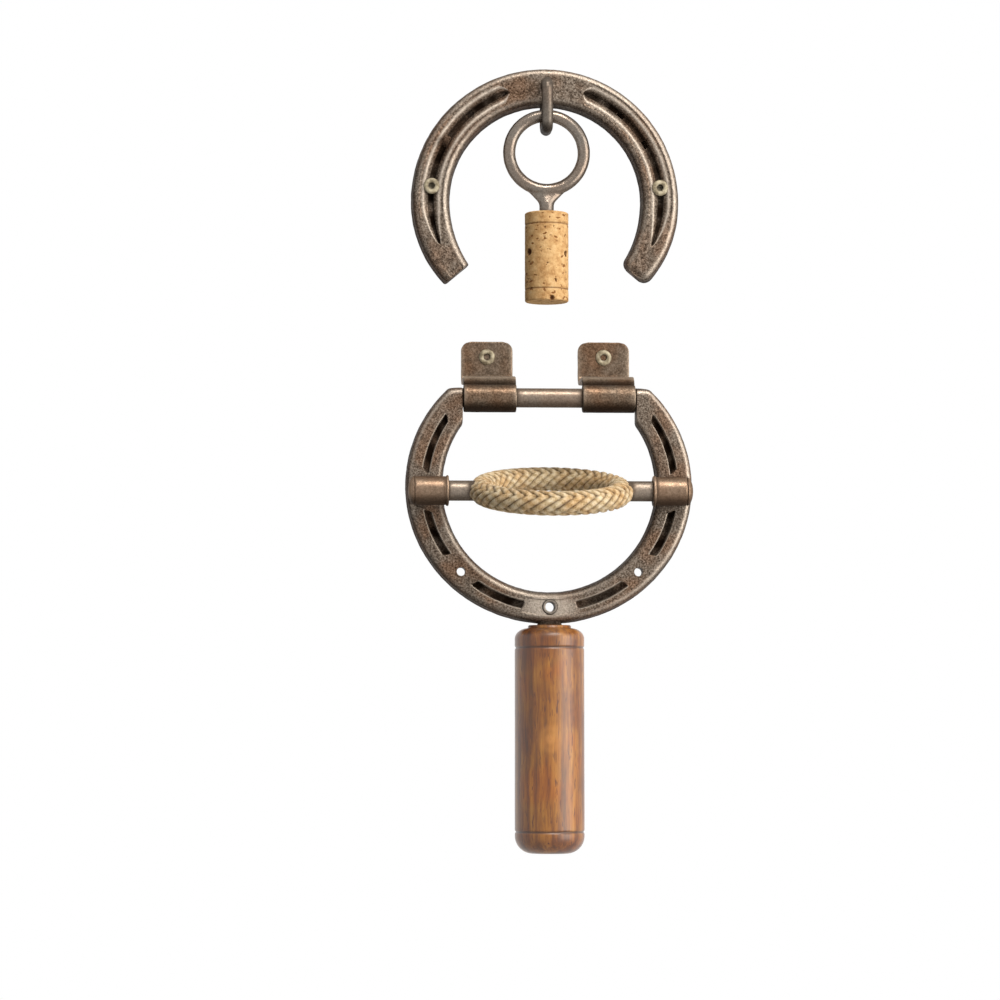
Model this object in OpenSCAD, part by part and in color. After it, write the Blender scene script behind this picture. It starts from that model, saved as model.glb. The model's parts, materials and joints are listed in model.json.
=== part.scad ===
// Wall-mounted horseshoe set: a fixed upper shoe with a cork stopper on a forged eye,
// and a lower shoe on a hinge rod with a rope-covered ring and a turned handle.
// Millimetres. The wall is the plane y = 0, the front is towards -Y, up is +Z.
// The origin is midway between the two bracket screws, on the wall.

/* [Both shoes] */
// Thickness of the bar that both shoes are forged from
shoe_t = 8; // [6.5:0.1:10]
// Rounding of the front edges
edge_r = 2.8; // [1:0.1:3.4]
// How far each side wall leans in towards the front
wall_draft = 0.7; // [0:0.1:1.2]
// Chamfer of the back edges
back_chamfer = 0.6; // [0.2:0.1:1]
// Width of the nail groove at the front face
groove_w = 4.8; // [3:0.1:6]
// Width of the nail groove's floor
groove_floor_w = 1.8; // [1:0.1:2.6]
// Depth of the nail groove
groove_d = 2.2; // [1:0.1:3]

/* [Upper shoe] */
// Height of the upper shoe's centre above the bracket screws
upper_rise = 65.7; // [60:0.1:80]
// Radius of the middle of the web
upper_r = 48.3; // [44:0.1:52]
// Width of the web
upper_web = 16.4; // [14:0.1:18]
// Angle from the toe to each heel
upper_heel_deg = 130; // [120:1:138]
// How much the web narrows on each side towards the heels
heel_taper = 1.5; // [0:0.1:2.5]
// Height of the two wall screws above the shoe's centre
upper_screw_rise = 5.5; // [0:0.1:12]

/* [Staple and eye] */
// Diameter of the staple's wire
staple_d = 4.9; // [4:0.1:5.4]
// Bend radius of the staple, at the middle of its wire
staple_bend_r = 3.2; // [3:0.1:3.8]
// Height of the staple's upper leg above the middle of the web
staple_rise = 0.2; // [0:0.1:3]
// Length of the staple between the middles of its upper leg and its lower bar
staple_drop = 18.9; // [18:0.1:22]
// Depth of the staple's rear leg in the toe
staple_bite = 4.2; // [3:0.1:5.5]
// Diameter of the eye's bar
eye_bar_d = 5.3; // [4.5:0.1:6]
// Inner diameter of the eye
eye_inner_d = 26; // [22:0.1:29]
// Diameter of the eye's shank above the cork
shank_d = 6.5; // [5:0.1:7]
// Length of the shank from the eye's lowest point to the cork
shank_l = 7.2; // [6:0.1:12]
// Diameter of the spike inside the cork
spike_d = 4; // [3:0.1:4.8]
// Length of the spike inside the cork
spike_l = 26; // [15:0.5:32]

/* [Cork] */
// Diameter of the cork
cork_d = 18.3; // [16:0.1:20]
// Length of the cork
cork_l = 37.4; // [34:0.1:45]
// Chamfer of the cork's ends
cork_chamfer = 0.7; // [0.2:0.1:1.5]
// Distance of each burnt line from the cork's ends
cork_line_inset = 4.6; // [3:0.1:8]

/* [Hinge] */
// Diameter of the hinge rod
rod_d = 8; // [6:0.1:9]
// Thickness of the bracket strap
strap_t = 2; // [1.6:0.1:2.4]
// Width of each bracket
bracket_w = 21.7; // [16:0.1:24]
// Distance of each bracket's middle from the centre line
bracket_x = 24.5; // [20:0.1:27]
// Height of the bracket plate above its screw
plate_top = 6.5; // [5:0.1:10]
// Distance of the hinge axis below the bracket screws
hinge_drop = 19.4; // [18:0.1:23]
// Height of the bracket's shelf above its knuckle
shelf_rise = 3.3; // [1.5:0.1:4.5]
// Radius of the plate's upper corners
plate_corner_r = 3; // [1:0.1:5]

/* [Lower shoe] */
// Overall width of the lower shoe
lower_w = 118.6; // [112:0.1:126]
// Height of the full oval that the lower shoe follows
lower_h = 113.5; // [106:0.1:120]
// Width of the web at the sides
web_side = 15.5; // [14:0.1:17]
// Width of the web at the toe
web_toe = 13.2; // [12:0.1:15]
// Diameter of the two plain nail holes
nail_hole_d = 4; // [2:0.1:5]
// Inner diameter of the toe eyelet
eyelet_bore_d = 4.8; // [3:0.1:5.2]

/* [Rope ring] */
// Diameter of the rope covering
rope_d = 10; // [8:0.1:11]
// Diameter of the ring at the middle of the rope
ring_d = 57.4; // [52:0.1:60]
// Diameter of the steel hoop inside the rope
core_d = 5; // [3:0.1:6]
// Diameter of the stub shafts
stub_d = 8.3; // [7:0.1:8.6]
// Wall of the pivot sleeves
sleeve_wall = 1.7; // [1.4:0.1:2.4]
// Length of the pivot sleeves
sleeve_l = 14; // [11:0.1:15]
// How far the ring's front hangs down
ring_tilt = 14; // [0:1:25]

/* [Handle] */
// Diameter of the handle
handle_d = 28.6; // [24:0.1:34]
// Length of the handle
handle_l = 93.1; // [80:0.1:110]
// Diameter of the handle's upper end face
handle_neck_d = 19; // [15:0.1:22]
// Diameter of the tang
tang_d = 5; // [4:0.1:5.5]
// Length of the tang inside the handle
tang_l = 40; // [25:1:60]

/* [Screws] */
// Diameter of the screws over their threads
screw_d = 3.5; // [3:0.1:4]
// Diameter of the plain neck under the screw heads
screw_neck_d = 2.6; // [2:0.1:2.9]
// Diameter of the screw heads
screw_head_d = 6.8; // [6:0.1:8]
// Length of screw that enters the wall
screw_wall_l = 17; // [12:0.5:30]

/* [Clearances] */
// Radial running clearance of the rod and the stub shafts
run_fit = 0.07; // [0.03:0.01:0.1]
// Gap between pieces that hang or slide past each other
free_gap = 0.3; // [0.25:0.05:0.6]
// Gap round pieces that are seated for good
seat_gap = 0.04; // [0.02:0.01:0.1]
// Gap between the rope ring and the wall as the ring turns
wall_gap = 0.6; // [0.4:0.1:3]

/* [Hidden] */
$fn = 64;
tiny = 0.01;

// upper shoe
upper_in_r = upper_r - upper_web / 2;
upper_hole_x = sqrt(pow(upper_r, 2) - pow(upper_screw_rise, 2));
upper_groove = [[19, 113]];
upper_nail_degs = [41, 60];
nail_pit = [3.4, 5, 2.2];

// eye, staple and cork, from the face of the upper shoe outwards
eye_r = (eye_inner_d + eye_bar_d) / 2;
eye_y = -(shoe_t + free_gap + eye_bar_d / 2);
staple_front_y = eye_y - eye_bar_d / 2 - free_gap - staple_d / 2;
staple_rear_y = -shoe_t / 2 - 0.4;
staple_top_z = upper_rise + upper_r + staple_rise;
staple_bar_z = staple_top_z - staple_drop;
eye_z = staple_bar_z - (eye_inner_d / 2 - staple_d / 2 - free_gap);
cork_top_z = eye_z - eye_r - eye_bar_d / 2 - shank_l;
cork_line_d = 0.5;

// rope ring and its pivot
ring_r = ring_d / 2;
sleeve_r = stub_d / 2 + run_fit + sleeve_wall;
sleeve_seat = stub_d / 2 + run_fit + 0.55;
pivot_y = -(ring_r + rope_d / 2 + wall_gap);
hinge_y = pivot_y + sleeve_seat + shoe_t / 2;
rim_w = 1.2;
rim_rise = 0.45;
cap_l = 2.6;

// hinge
barrel_in_r = rod_d / 2 + run_fit;
barrel_r = barrel_in_r + strap_t;
heel_x = bracket_x + bracket_w / 2 + free_gap;
shelf_z = -hinge_drop + barrel_r + shelf_rise;

// lower shoe: two ovals about one centre
out_a = lower_w / 2;
out_b = lower_h / 2;
in_a = out_a - web_side;
in_b = out_b - web_toe;
out_end = 180 - asin(heel_x / out_a);
in_end = 180 - asin(heel_x / in_a);
heel_mid = (-out_b * cos(out_end) - in_b * cos(in_end)) / 2;
lower_z = -hinge_drop - heel_mid - 1;
heel_top = -hinge_drop + rod_d / 2 + 0.6;
lower_back_y = hinge_y + shoe_t / 2;
lower_face_y = hinge_y - shoe_t / 2;
lower_groove = [[11, 37], [55, 77], [96, 125]];
nail_deg = 45;
pivot_z = lower_z - 2.7;
sleeve_x = out_a - web_side / 2 - 1.5;
sleeve_in_x = sleeve_x - sleeve_l / 2 - cap_l / 2;
sleeve_out_x = sleeve_in_x + sleeve_l;

// toe, eyelet and handle
toe_z = lower_z - out_b;
eyelet_z = toe_z + web_toe / 2 + 0.3;
eyelet_wall = 0.5;
eyelet_flange = 1.4;
lug_w = 10;
lug_inset = 0.5;
lug_drop = 0.6;
handle_top_z = toe_z - lug_drop;
tang_top_z = eyelet_z - eyelet_bore_d / 2 - eyelet_wall - 1.1;

// screws
screw_cone_l = (screw_head_d - screw_d) / 2;
screw_neck_r = screw_neck_d / 2;
screw_dome_h = 0.9;
screw_socket_r = 1.3;

bronze = [0.44, 0.39, 0.34];
dark_steel = [0.30, 0.26, 0.23];
copper_brown = [0.50, 0.38, 0.29];
brass = [0.85, 0.78, 0.60];
cork_tan = [0.75, 0.58, 0.38];
jute = [0.74, 0.63, 0.45];
wood_brown = [0.63, 0.38, 0.22];

// ---- forged bar of a shoe ----

// Share of the groove's full depth at an angle, tapering over the last degrees of each stretch
function groove_at(a, runs, taper = 6) =
    max([for (r = runs) max(0, min(1, min(a - r[0], r[1] - a) / taper))]);

// Cross section of the bar, from the inner wall to the outer: [across, depth from the back]
function bar_section(w, g) =
    let (
        in_c = -w / 2 + wall_draft + edge_r,
        out_c = w / 2 - wall_draft - edge_r,
        lip = max(0.25, g * groove_w / 2),
        floor_half = max(0.1, g * groove_floor_w / 2)
    )
    [
        [-w / 2 + back_chamfer, 0],
        [-w / 2, back_chamfer],
        for (a = [180:-30:90]) [in_c + edge_r * cos(a), shoe_t - edge_r + edge_r * sin(a)],
        [-lip, shoe_t],
        [-floor_half, shoe_t - g * groove_d],
        [floor_half, shoe_t - g * groove_d],
        [lip, shoe_t],
        for (a = [90:-30:0]) [out_c + edge_r * cos(a), shoe_t - edge_r + edge_r * sin(a)],
        [w / 2, back_chamfer],
        [w / 2 - back_chamfer, 0]
    ];

// A section stood up between an inner and an outer point of the shoe's plan
function bar_ring(p_in, p_out, back_y, g) =
    let (
        mid = (p_in + p_out) / 2,
        across = (p_out - p_in) / norm(p_out - p_in),
        sec = bar_section(norm(p_out - p_in), g)
    )
    [for (s = sec) [mid[0] + across[0] * s[0], back_y - s[1], mid[1] + across[1] * s[0]]];

// Closed skin through a list of rings, with flat ends
module loft(rings) {
    n = len(rings[0]);
    last = (len(rings) - 1) * n;
    polyhedron(
        points = [for (r = rings) each r],
        faces = [
            for (i = [0:len(rings) - 2], k = [0:n - 1])
                let (a = i * n + k, b = i * n + (k + 1) % n)
                each [[a, b, b + n], [a, b + n, a + n]],
            for (k = [1:n - 2]) [0, k + 1, k],
            for (k = [1:n - 2]) [last, last + k, last + k + 1]
        ],
        convexity = 6
    );
}

// Plan point of the upper shoe at an angle from the toe, on its inner or outer side
function upper_point(side, a) =
    let (
        near_heel = max(0, (abs(a) - 92) / (upper_heel_deg - 92)),
        r = upper_r + side * (upper_web / 2 - heel_taper * pow(near_heel, 2))
    )
    [r * sin(a), upper_rise + r * cos(a)];

// Plan point of one of the lower shoe's ovals, cut level at the heels
function oval_point(a, half_w, half_h) =
    [half_w * sin(a), min(heel_top, lower_z - half_h * cos(a))];

// ---- wood screw: raised countersunk head, axis along +Y, face of its seat at y = 0 ----
module screw(seat_y) {
    r = screw_d / 2;
    head_r = screw_head_d / 2;
    dome_r = (pow(head_r, 2) + pow(screw_dome_h, 2)) / (2 * screw_dome_h);
    translate([0, seat_y, 0]) rotate([-90, 0, 0]) difference() {
        union() {
            cylinder(r1 = head_r, r2 = screw_neck_r, h = head_r - screw_neck_r);
            cylinder(r = screw_neck_r, h = tiny - seat_y);
            translate([0, 0, -seat_y]) cylinder(r = r, h = screw_wall_l - 3);
            translate([0, 0, screw_wall_l - seat_y - 3 - tiny]) cylinder(r1 = r, r2 = 0.3, h = 3);
            intersection() {
                translate([0, 0, dome_r - screw_dome_h]) sphere(r = dome_r);
                translate([0, 0, -screw_dome_h]) cylinder(r = head_r, h = screw_dome_h + tiny);
            }
        }
        translate([0, 0, -screw_dome_h - tiny]) cylinder(r = screw_socket_r, h = 1.9, $fn = 6);
    }
}

// Hole for a screw shank with its countersink, through a piece whose front is at seat_y
module screw_hole(seat_y) {
    r = screw_d / 2 + seat_gap;
    translate([0, seat_y, 0]) rotate([-90, 0, 0]) {
        translate([0, 0, -shoe_t]) cylinder(r = screw_head_d / 2 + seat_gap, h = shoe_t);
        cylinder(r1 = screw_head_d / 2 + seat_gap, r2 = r, h = screw_cone_l);
        cylinder(r = r, h = 2 * shoe_t);
    }
}

// ---- staple: one bent wire in the plane x = 0, grown by fat for its holes ----
module wire_y(y0, y1, z, fat) {
    translate([0, min(y0, y1), z]) rotate([-90, 0, 0]) cylinder(d = staple_d + fat, h = abs(y1 - y0));
}
module wire_z(z0, z1, y, fat) {
    translate([0, y, z0]) cylinder(d = staple_d + fat, h = z1 - z0);
}
// Quarter bend about a point, in the plane x = 0, starting at an angle from +Y towards +Z
module wire_bend(y, z, start) {
    translate([0, y, z]) rotate([90, 0, 90]) rotate([0, 0, start])
        rotate_extrude(angle = 90) translate([staple_bend_r, 0]) circle(d = staple_d);
}

staple_far_y = -0.9;
staple_tip_z = upper_rise + upper_in_r + staple_bite;

module hanging_staple() {
    b = staple_bend_r;
    color(dark_steel) {
        wire_y(staple_front_y + b, staple_far_y - seat_gap, staple_top_z, 0);
        wire_bend(staple_front_y + b, staple_top_z - b, 90);
        wire_z(staple_bar_z + b, staple_top_z - b, staple_front_y, 0);
        wire_bend(staple_front_y + b, staple_bar_z + b, 180);
        wire_y(staple_front_y + b, staple_rear_y - b, staple_bar_z, 0);
        wire_bend(staple_rear_y - b, staple_bar_z + b, 270);
        wire_z(staple_bar_z + b, staple_tip_z - seat_gap, staple_rear_y, 0);
    }
}

module upper_shoe() {
    steps = 96;
    rings = [for (i = [0:steps])
        let (a = upper_heel_deg * (2 * i / steps - 1))
        bar_ring(upper_point(-1, a), upper_point(1, a), 0, groove_at(abs(a), upper_groove))];
    color(bronze) difference() {
        loft(rings);
        for (side = [-1, 1]) {
            translate([side * upper_hole_x, 0, upper_rise + upper_screw_rise]) screw_hole(-shoe_t);
            for (deg = upper_nail_degs)
                translate([0, 0, upper_rise]) rotate([0, side * deg, 0])
                    translate([0, -shoe_t + nail_pit[1] / 2, upper_r]) cube(nail_pit, center = true);
        }
        wire_y(-shoe_t - 1, staple_far_y, staple_top_z, 2 * seat_gap);
        wire_z(upper_rise + upper_in_r - 2, staple_tip_z, staple_rear_y, 2 * seat_gap);
    }
}

module upper_screw(side) {
    color(brass) translate([side * upper_hole_x, 0, upper_rise + upper_screw_rise]) screw(-shoe_t);
}
module upper_screw_left() { upper_screw(-1); }
module upper_screw_right() { upper_screw(1); }

// ---- forged eye: round ring, flattened shoulders, round shank and spike ----
module eye_ring() {
    low_z = eye_z - eye_r;
    shoulder_r = shank_d / 2 + 3;
    color(dark_steel) translate([0, eye_y, 0]) {
        translate([0, 0, eye_z]) rotate([90, 0, 0]) rotate_extrude($fn = 96)
            translate([eye_r, 0]) circle(d = eye_bar_d);
        intersection() {
            translate([0, 0, cork_top_z]) rotate_extrude() difference() {
                square([shoulder_r, low_z - cork_top_z]);
                translate([shoulder_r, shank_l / 2 - 0.6])
                    scale([1, (shank_l / 2 + 1.6) / 3, 1]) circle(r = 3);
                translate([shank_d / 2, -tiny]) square([3 + tiny, shank_l / 2 - 0.6 + tiny]);
            }
            translate([-eye_r, -shank_d / 2, cork_top_z]) cube([2 * eye_r, shank_d, eye_r]);
        }
        translate([0, 0, cork_top_z - spike_l + 3]) cylinder(d = spike_d, h = spike_l - 3 + tiny);
        translate([0, 0, cork_top_z - spike_l]) cylinder(d1 = 0.6, d2 = spike_d, h = 3 + tiny);
    }
}

module cork() {
    r = cork_d / 2;
    low = cork_top_z - cork_l;
    color(cork_tan) translate([0, eye_y, low]) difference() {
        rotate_extrude($fn = 96) polygon([
            [0, 0], [r - cork_chamfer, 0], [r, cork_chamfer],
            [r, cork_line_inset], [r - cork_line_d / 2, cork_line_inset + cork_line_d],
            [r, cork_line_inset + 2 * cork_line_d],
            [r, cork_l - cork_line_inset - 2 * cork_line_d],
            [r - cork_line_d / 2, cork_l - cork_line_inset - cork_line_d],
            [r, cork_l - cork_line_inset],
            [r, cork_l - cork_chamfer], [r - cork_chamfer, cork_l], [0, cork_l]
        ]);
        translate([0, 0, cork_l - spike_l + 3])
            cylinder(d = spike_d + 2 * seat_gap, h = spike_l);
        translate([0, 0, cork_l - spike_l - seat_gap])
            cylinder(d1 = 0.6, d2 = spike_d + 2 * seat_gap, h = 3 + seat_gap + tiny);
    }
}

// ---- hinge bracket: plate on the wall, shelf forward, neck down, knuckle round the rod ----
module bracket_profile() {
    neck_y = hinge_y + barrel_r / 4;
    bend = 1.5;
    difference() {
        union() {
            translate([-strap_t, shelf_z - strap_t]) square([strap_t, plate_top - shelf_z + strap_t]);
            translate([neck_y - strap_t + bend, shelf_z - strap_t])
                square([-neck_y + strap_t - bend, strap_t]);
            translate([neck_y - strap_t, -hinge_drop]) square([strap_t, shelf_z - bend + hinge_drop]);
            intersection() {
                translate([neck_y - strap_t + bend, shelf_z - bend]) circle(r = bend);
                translate([neck_y - strap_t, shelf_z - strap_t]) square([strap_t, strap_t]);
            }
            translate([neck_y - strap_t + bend, shelf_z - strap_t]) square([strap_t - bend, strap_t]);
            translate([hinge_y, -hinge_drop]) circle(r = barrel_r);
            difference() {
                translate([-strap_t - 3, shelf_z - tiny]) square([3 + tiny, 3]);
                translate([-strap_t - 3, shelf_z + 3]) circle(r = 3);
            }
        }
        translate([hinge_y, -hinge_drop]) circle(r = barrel_in_r);
    }
}

module bracket(side) {
    color(bronze) translate([side * bracket_x, 0, 0]) difference() {
        rotate([90, 0, 90]) translate([0, 0, -bracket_w / 2])
            linear_extrude(bracket_w) bracket_profile();
        screw_hole(-strap_t);
        for (edge = [-1, 1]) translate([edge * (bracket_w / 2 - plate_corner_r), 0, plate_top - plate_corner_r])
            difference() {
                translate([edge > 0 ? 0 : -plate_corner_r - 1, -strap_t - 1, 0])
                    cube([plate_corner_r + 1, strap_t + 2, plate_corner_r + 1]);
                translate([0, 2, 0]) rotate([90, 0, 0]) cylinder(r = plate_corner_r, h = strap_t + 4);
            }
    }
}
module bracket_left() { bracket(-1); }
module bracket_right() { bracket(1); }

module bracket_screw(side) {
    color(brass) translate([side * bracket_x, 0, 0]) screw(-strap_t);
}
module bracket_screw_left() { bracket_screw(-1); }
module bracket_screw_right() { bracket_screw(1); }

module hinge_rod() {
    color(bronze) translate([-heel_x, hinge_y, -hinge_drop]) rotate([0, 90, 0])
        cylinder(d = rod_d, h = 2 * heel_x);
}

// ---- lower shoe ----
module lower_shoe() {
    steps = 116;
    rings = [for (i = [0:steps])
        let (s = 1 - 2 * i / steps)
        bar_ring(oval_point(s * in_end, in_a, in_b), oval_point(s * out_end, out_a, out_b),
            lower_back_y, groove_at(abs(s) * (in_end + out_end) / 2, lower_groove))];
    mid_a = (out_a + in_a) / 2;
    mid_b = (out_b + in_b) / 2;
    color(bronze) difference() {
        union() {
            loft(rings);
            translate([-lug_w / 2, lower_face_y + lug_inset, handle_top_z])
                cube([lug_w, shoe_t - 2 * lug_inset, lug_drop + web_toe / 3]);
        }
        for (side = [-1, 1])
            translate([side * mid_a * sin(nail_deg), lower_back_y + 1, lower_z - mid_b * cos(nail_deg)])
                rotate([90, 0, 0]) cylinder(d = nail_hole_d, h = shoe_t + 2);
        translate([0, lower_back_y + 1, eyelet_z]) rotate([90, 0, 0])
            cylinder(r = eyelet_bore_d / 2 + eyelet_wall + seat_gap, h = shoe_t + 2);
        translate([0, hinge_y, handle_top_z - 1])
            cylinder(d = tang_d + 2 * seat_gap, h = tang_top_z - handle_top_z + 1 + seat_gap);
    }
}

// ---- pivot sleeve: tube with a rolled rim, flattened where it is welded to the shoe ----
module sleeve_seat_cut() {
    translate([-lower_w, lower_face_y, -lower_h - hinge_drop]) cube([2 * lower_w, shoe_t, 2 * lower_h]);
}

module pivot_sleeve(side) {
    color(copper_brown) difference() {
        translate([side * sleeve_in_x, pivot_y, pivot_z]) rotate([0, side * 90, 0]) difference() {
            union() {
                cylinder(r = sleeve_r, h = sleeve_l);
                translate([0, 0, rim_w / 2]) rotate_extrude()
                    translate([sleeve_r + rim_rise - rim_w / 2, 0]) circle(d = rim_w);
            }
            translate([0, 0, -1]) cylinder(r = stub_d / 2 + run_fit, h = sleeve_l + 2);
        }
        sleeve_seat_cut();
    }
}
module pivot_sleeve_left() { pivot_sleeve(-1); }
module pivot_sleeve_right() { pivot_sleeve(1); }

// ---- domed cap that closes a sleeve, with a spigot in its bore ----
spigot_l = 1.6;
module sleeve_cap(side) {
    dome_r = (pow(sleeve_r, 2) + pow(cap_l, 2)) / (2 * cap_l);
    color(copper_brown) difference() {
        translate([side * sleeve_out_x, pivot_y, pivot_z]) rotate([0, side * 90, 0]) union() {
            intersection() {
                translate([0, 0, cap_l - dome_r]) sphere(r = dome_r);
                cylinder(r = sleeve_r, h = cap_l);
            }
            translate([0, 0, -spigot_l]) cylinder(r = stub_d / 2 + run_fit - seat_gap, h = spigot_l + tiny);
        }
        sleeve_seat_cut();
    }
}
module sleeve_cap_left() { sleeve_cap(-1); }
module sleeve_cap_right() { sleeve_cap(1); }

module toe_eyelet() {
    color(dark_steel) translate([0, lower_back_y, eyelet_z]) rotate([90, 0, 0]) difference() {
        union() {
            cylinder(r = eyelet_bore_d / 2 + eyelet_wall, h = shoe_t);
            translate([0, 0, shoe_t])
                cylinder(r1 = eyelet_bore_d / 2 + eyelet_flange, r2 = eyelet_bore_d / 2 + eyelet_flange - 0.4,
                    h = 0.4);
        }
        translate([0, 0, -1]) cylinder(d = eyelet_bore_d, h = shoe_t + 3);
    }
}

module handle_tang() {
    color(dark_steel) translate([0, hinge_y, handle_top_z - tang_l])
        cylinder(d = tang_d, h = tang_top_z - handle_top_z + tang_l);
}

// ---- turned handle ----
function arc(c, r, a0, a1, n) = [for (i = [0:n]) c + r * [cos(a0 + (a1 - a0) * i / n), sin(a0 + (a1 - a0) * i / n)]];

module handle() {
    r = handle_d / 2;
    neck_r = handle_neck_d / 2;
    shoulder = r - neck_r;
    end_r = 6;
    line_inset = 8.4;
    line_w = 0.9;
    color(wood_brown) translate([0, hinge_y, handle_top_z]) difference() {
        rotate_extrude($fn = 96) union() {
            difference() {
                translate([0, -handle_l]) square([r, handle_l]);
                translate([neck_r, -shoulder]) difference() {
                    square([shoulder + 1, shoulder + 1]);
                    circle(r = shoulder);
                }
                translate([r - end_r, -handle_l + end_r]) difference() {
                    translate([0, -end_r - 1]) square([end_r + 1, end_r + 1]);
                    circle(r = end_r);
                }
                for (z = [-line_inset, -handle_l + line_inset])
                    translate([r, z]) circle(d = line_w);
            }
        }
        translate([0, 0, -tang_l - seat_gap]) cylinder(d = tang_d + 2 * seat_gap, h = tang_l + 1);
    }
}

// ---- rope ring: steel hoop, rope round it, and a stub shaft welded on at each side ----
module ring_pose() {
    translate([0, pivot_y, pivot_z]) rotate([ring_tilt, 0, 0]) children();
}
stub_out_x = sleeve_out_x - spigot_l - free_gap;

module torus(r, d) {
    rotate_extrude($fn = 96) translate([r, 0]) circle(d = d);
}

module ring_core() {
    color(dark_steel) ring_pose() torus(ring_r, core_d);
}

module rope_wrap() {
    color(jute) ring_pose() difference() {
        torus(ring_r, rope_d);
        torus(ring_r, core_d + 2 * seat_gap);
        for (side = [-1, 1]) rotate([0, side * 90, 0]) translate([0, 0, ring_r])
            cylinder(r = stub_d / 2 + seat_gap, h = rope_d);
    }
}

module stub(side) {
    color(dark_steel) ring_pose() difference() {
        rotate([0, side * 90, 0]) translate([0, 0, ring_r]) cylinder(d = stub_d, h = stub_out_x - ring_r);
        torus(ring_r, core_d + 2 * seat_gap);
    }
}
module stub_left() { stub(-1); }
module stub_right() { stub(1); }

upper_shoe();
hanging_staple();
upper_screw_left();
upper_screw_right();
eye_ring();
cork();
bracket_left();
bracket_right();
bracket_screw_left();
bracket_screw_right();
hinge_rod();
lower_shoe();
pivot_sleeve_left();
pivot_sleeve_right();
sleeve_cap_left();
sleeve_cap_right();
toe_eyelet();
handle_tang();
handle();
ring_core();
rope_wrap();
stub_left();
stub_right();
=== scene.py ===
import json
import math

import bmesh
import bpy
import numpy as np
from mathutils import Matrix, Vector, noise


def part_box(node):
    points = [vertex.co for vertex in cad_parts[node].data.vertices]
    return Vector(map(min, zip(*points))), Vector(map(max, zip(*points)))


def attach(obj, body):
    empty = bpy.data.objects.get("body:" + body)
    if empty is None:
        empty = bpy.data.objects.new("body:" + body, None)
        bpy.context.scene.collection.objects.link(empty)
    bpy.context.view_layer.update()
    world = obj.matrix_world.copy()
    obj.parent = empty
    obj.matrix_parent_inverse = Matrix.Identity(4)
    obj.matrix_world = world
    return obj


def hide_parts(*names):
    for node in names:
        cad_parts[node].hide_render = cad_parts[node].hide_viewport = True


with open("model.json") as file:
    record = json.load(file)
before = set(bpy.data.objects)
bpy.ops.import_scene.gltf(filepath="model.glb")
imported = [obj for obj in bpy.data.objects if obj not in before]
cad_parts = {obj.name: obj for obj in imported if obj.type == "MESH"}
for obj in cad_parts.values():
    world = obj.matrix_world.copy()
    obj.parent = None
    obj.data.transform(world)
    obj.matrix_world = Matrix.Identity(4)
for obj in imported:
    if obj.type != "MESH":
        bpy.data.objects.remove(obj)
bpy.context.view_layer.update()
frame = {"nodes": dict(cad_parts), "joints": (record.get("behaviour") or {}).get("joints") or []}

# ---- Upper shoe ----
# A small horseshoe forged from 8 mm bar, toe up, with a fuller groove down each arm.
# Steel with a bronze-brown bluing, rubbed bright on its edges and sooty in the grooves.
# Its side walls and the edges facing away from the light carry painted shade, and the edges
# facing the upper right a painted highlight.
# It lies flat on the wall under two wood screws.
MM = 0.001
SHOE_T = 8.0


def linear(hex_colour):
    """An sRGB hex colour as linear red, green, blue and alpha."""
    parts = [int(hex_colour[i:i + 2], 16) / 255 for i in (1, 3, 5)]
    return [c / 12.92 if c <= 0.04045 else ((c + 0.055) / 1.055) ** 2.4 for c in parts] + [1.0]


def add(tree, kind, settings, inputs):
    """Adds a shader node with its settings, and sets or links its inputs."""
    made = tree.nodes.new("ShaderNode" + kind)
    for key, value in settings.items():
        if key == "stops":
            ramp = made.color_ramp
            while len(ramp.elements) < len(value):
                ramp.elements.new(0.5)
            for element, (place, colour) in zip(ramp.elements, value):
                element.position = place
                element.color = linear(colour)
        else:
            setattr(made, key, value)
    for key, value in inputs.items():
        if isinstance(value, bpy.types.NodeSocket):
            tree.links.new(value, made.inputs[key])
        else:
            made.inputs[key].default_value = value
    return made


def new_material(name):
    made = bpy.data.materials.new(name)
    made.use_nodes = True
    made.node_tree.nodes.clear()
    return made, made.node_tree


def finish_material(tree, shader_inputs):
    shader = add(tree, "BsdfPrincipled", {}, shader_inputs)
    add(tree, "OutputMaterial", {}, {"Surface": shader.outputs[0]})


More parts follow.
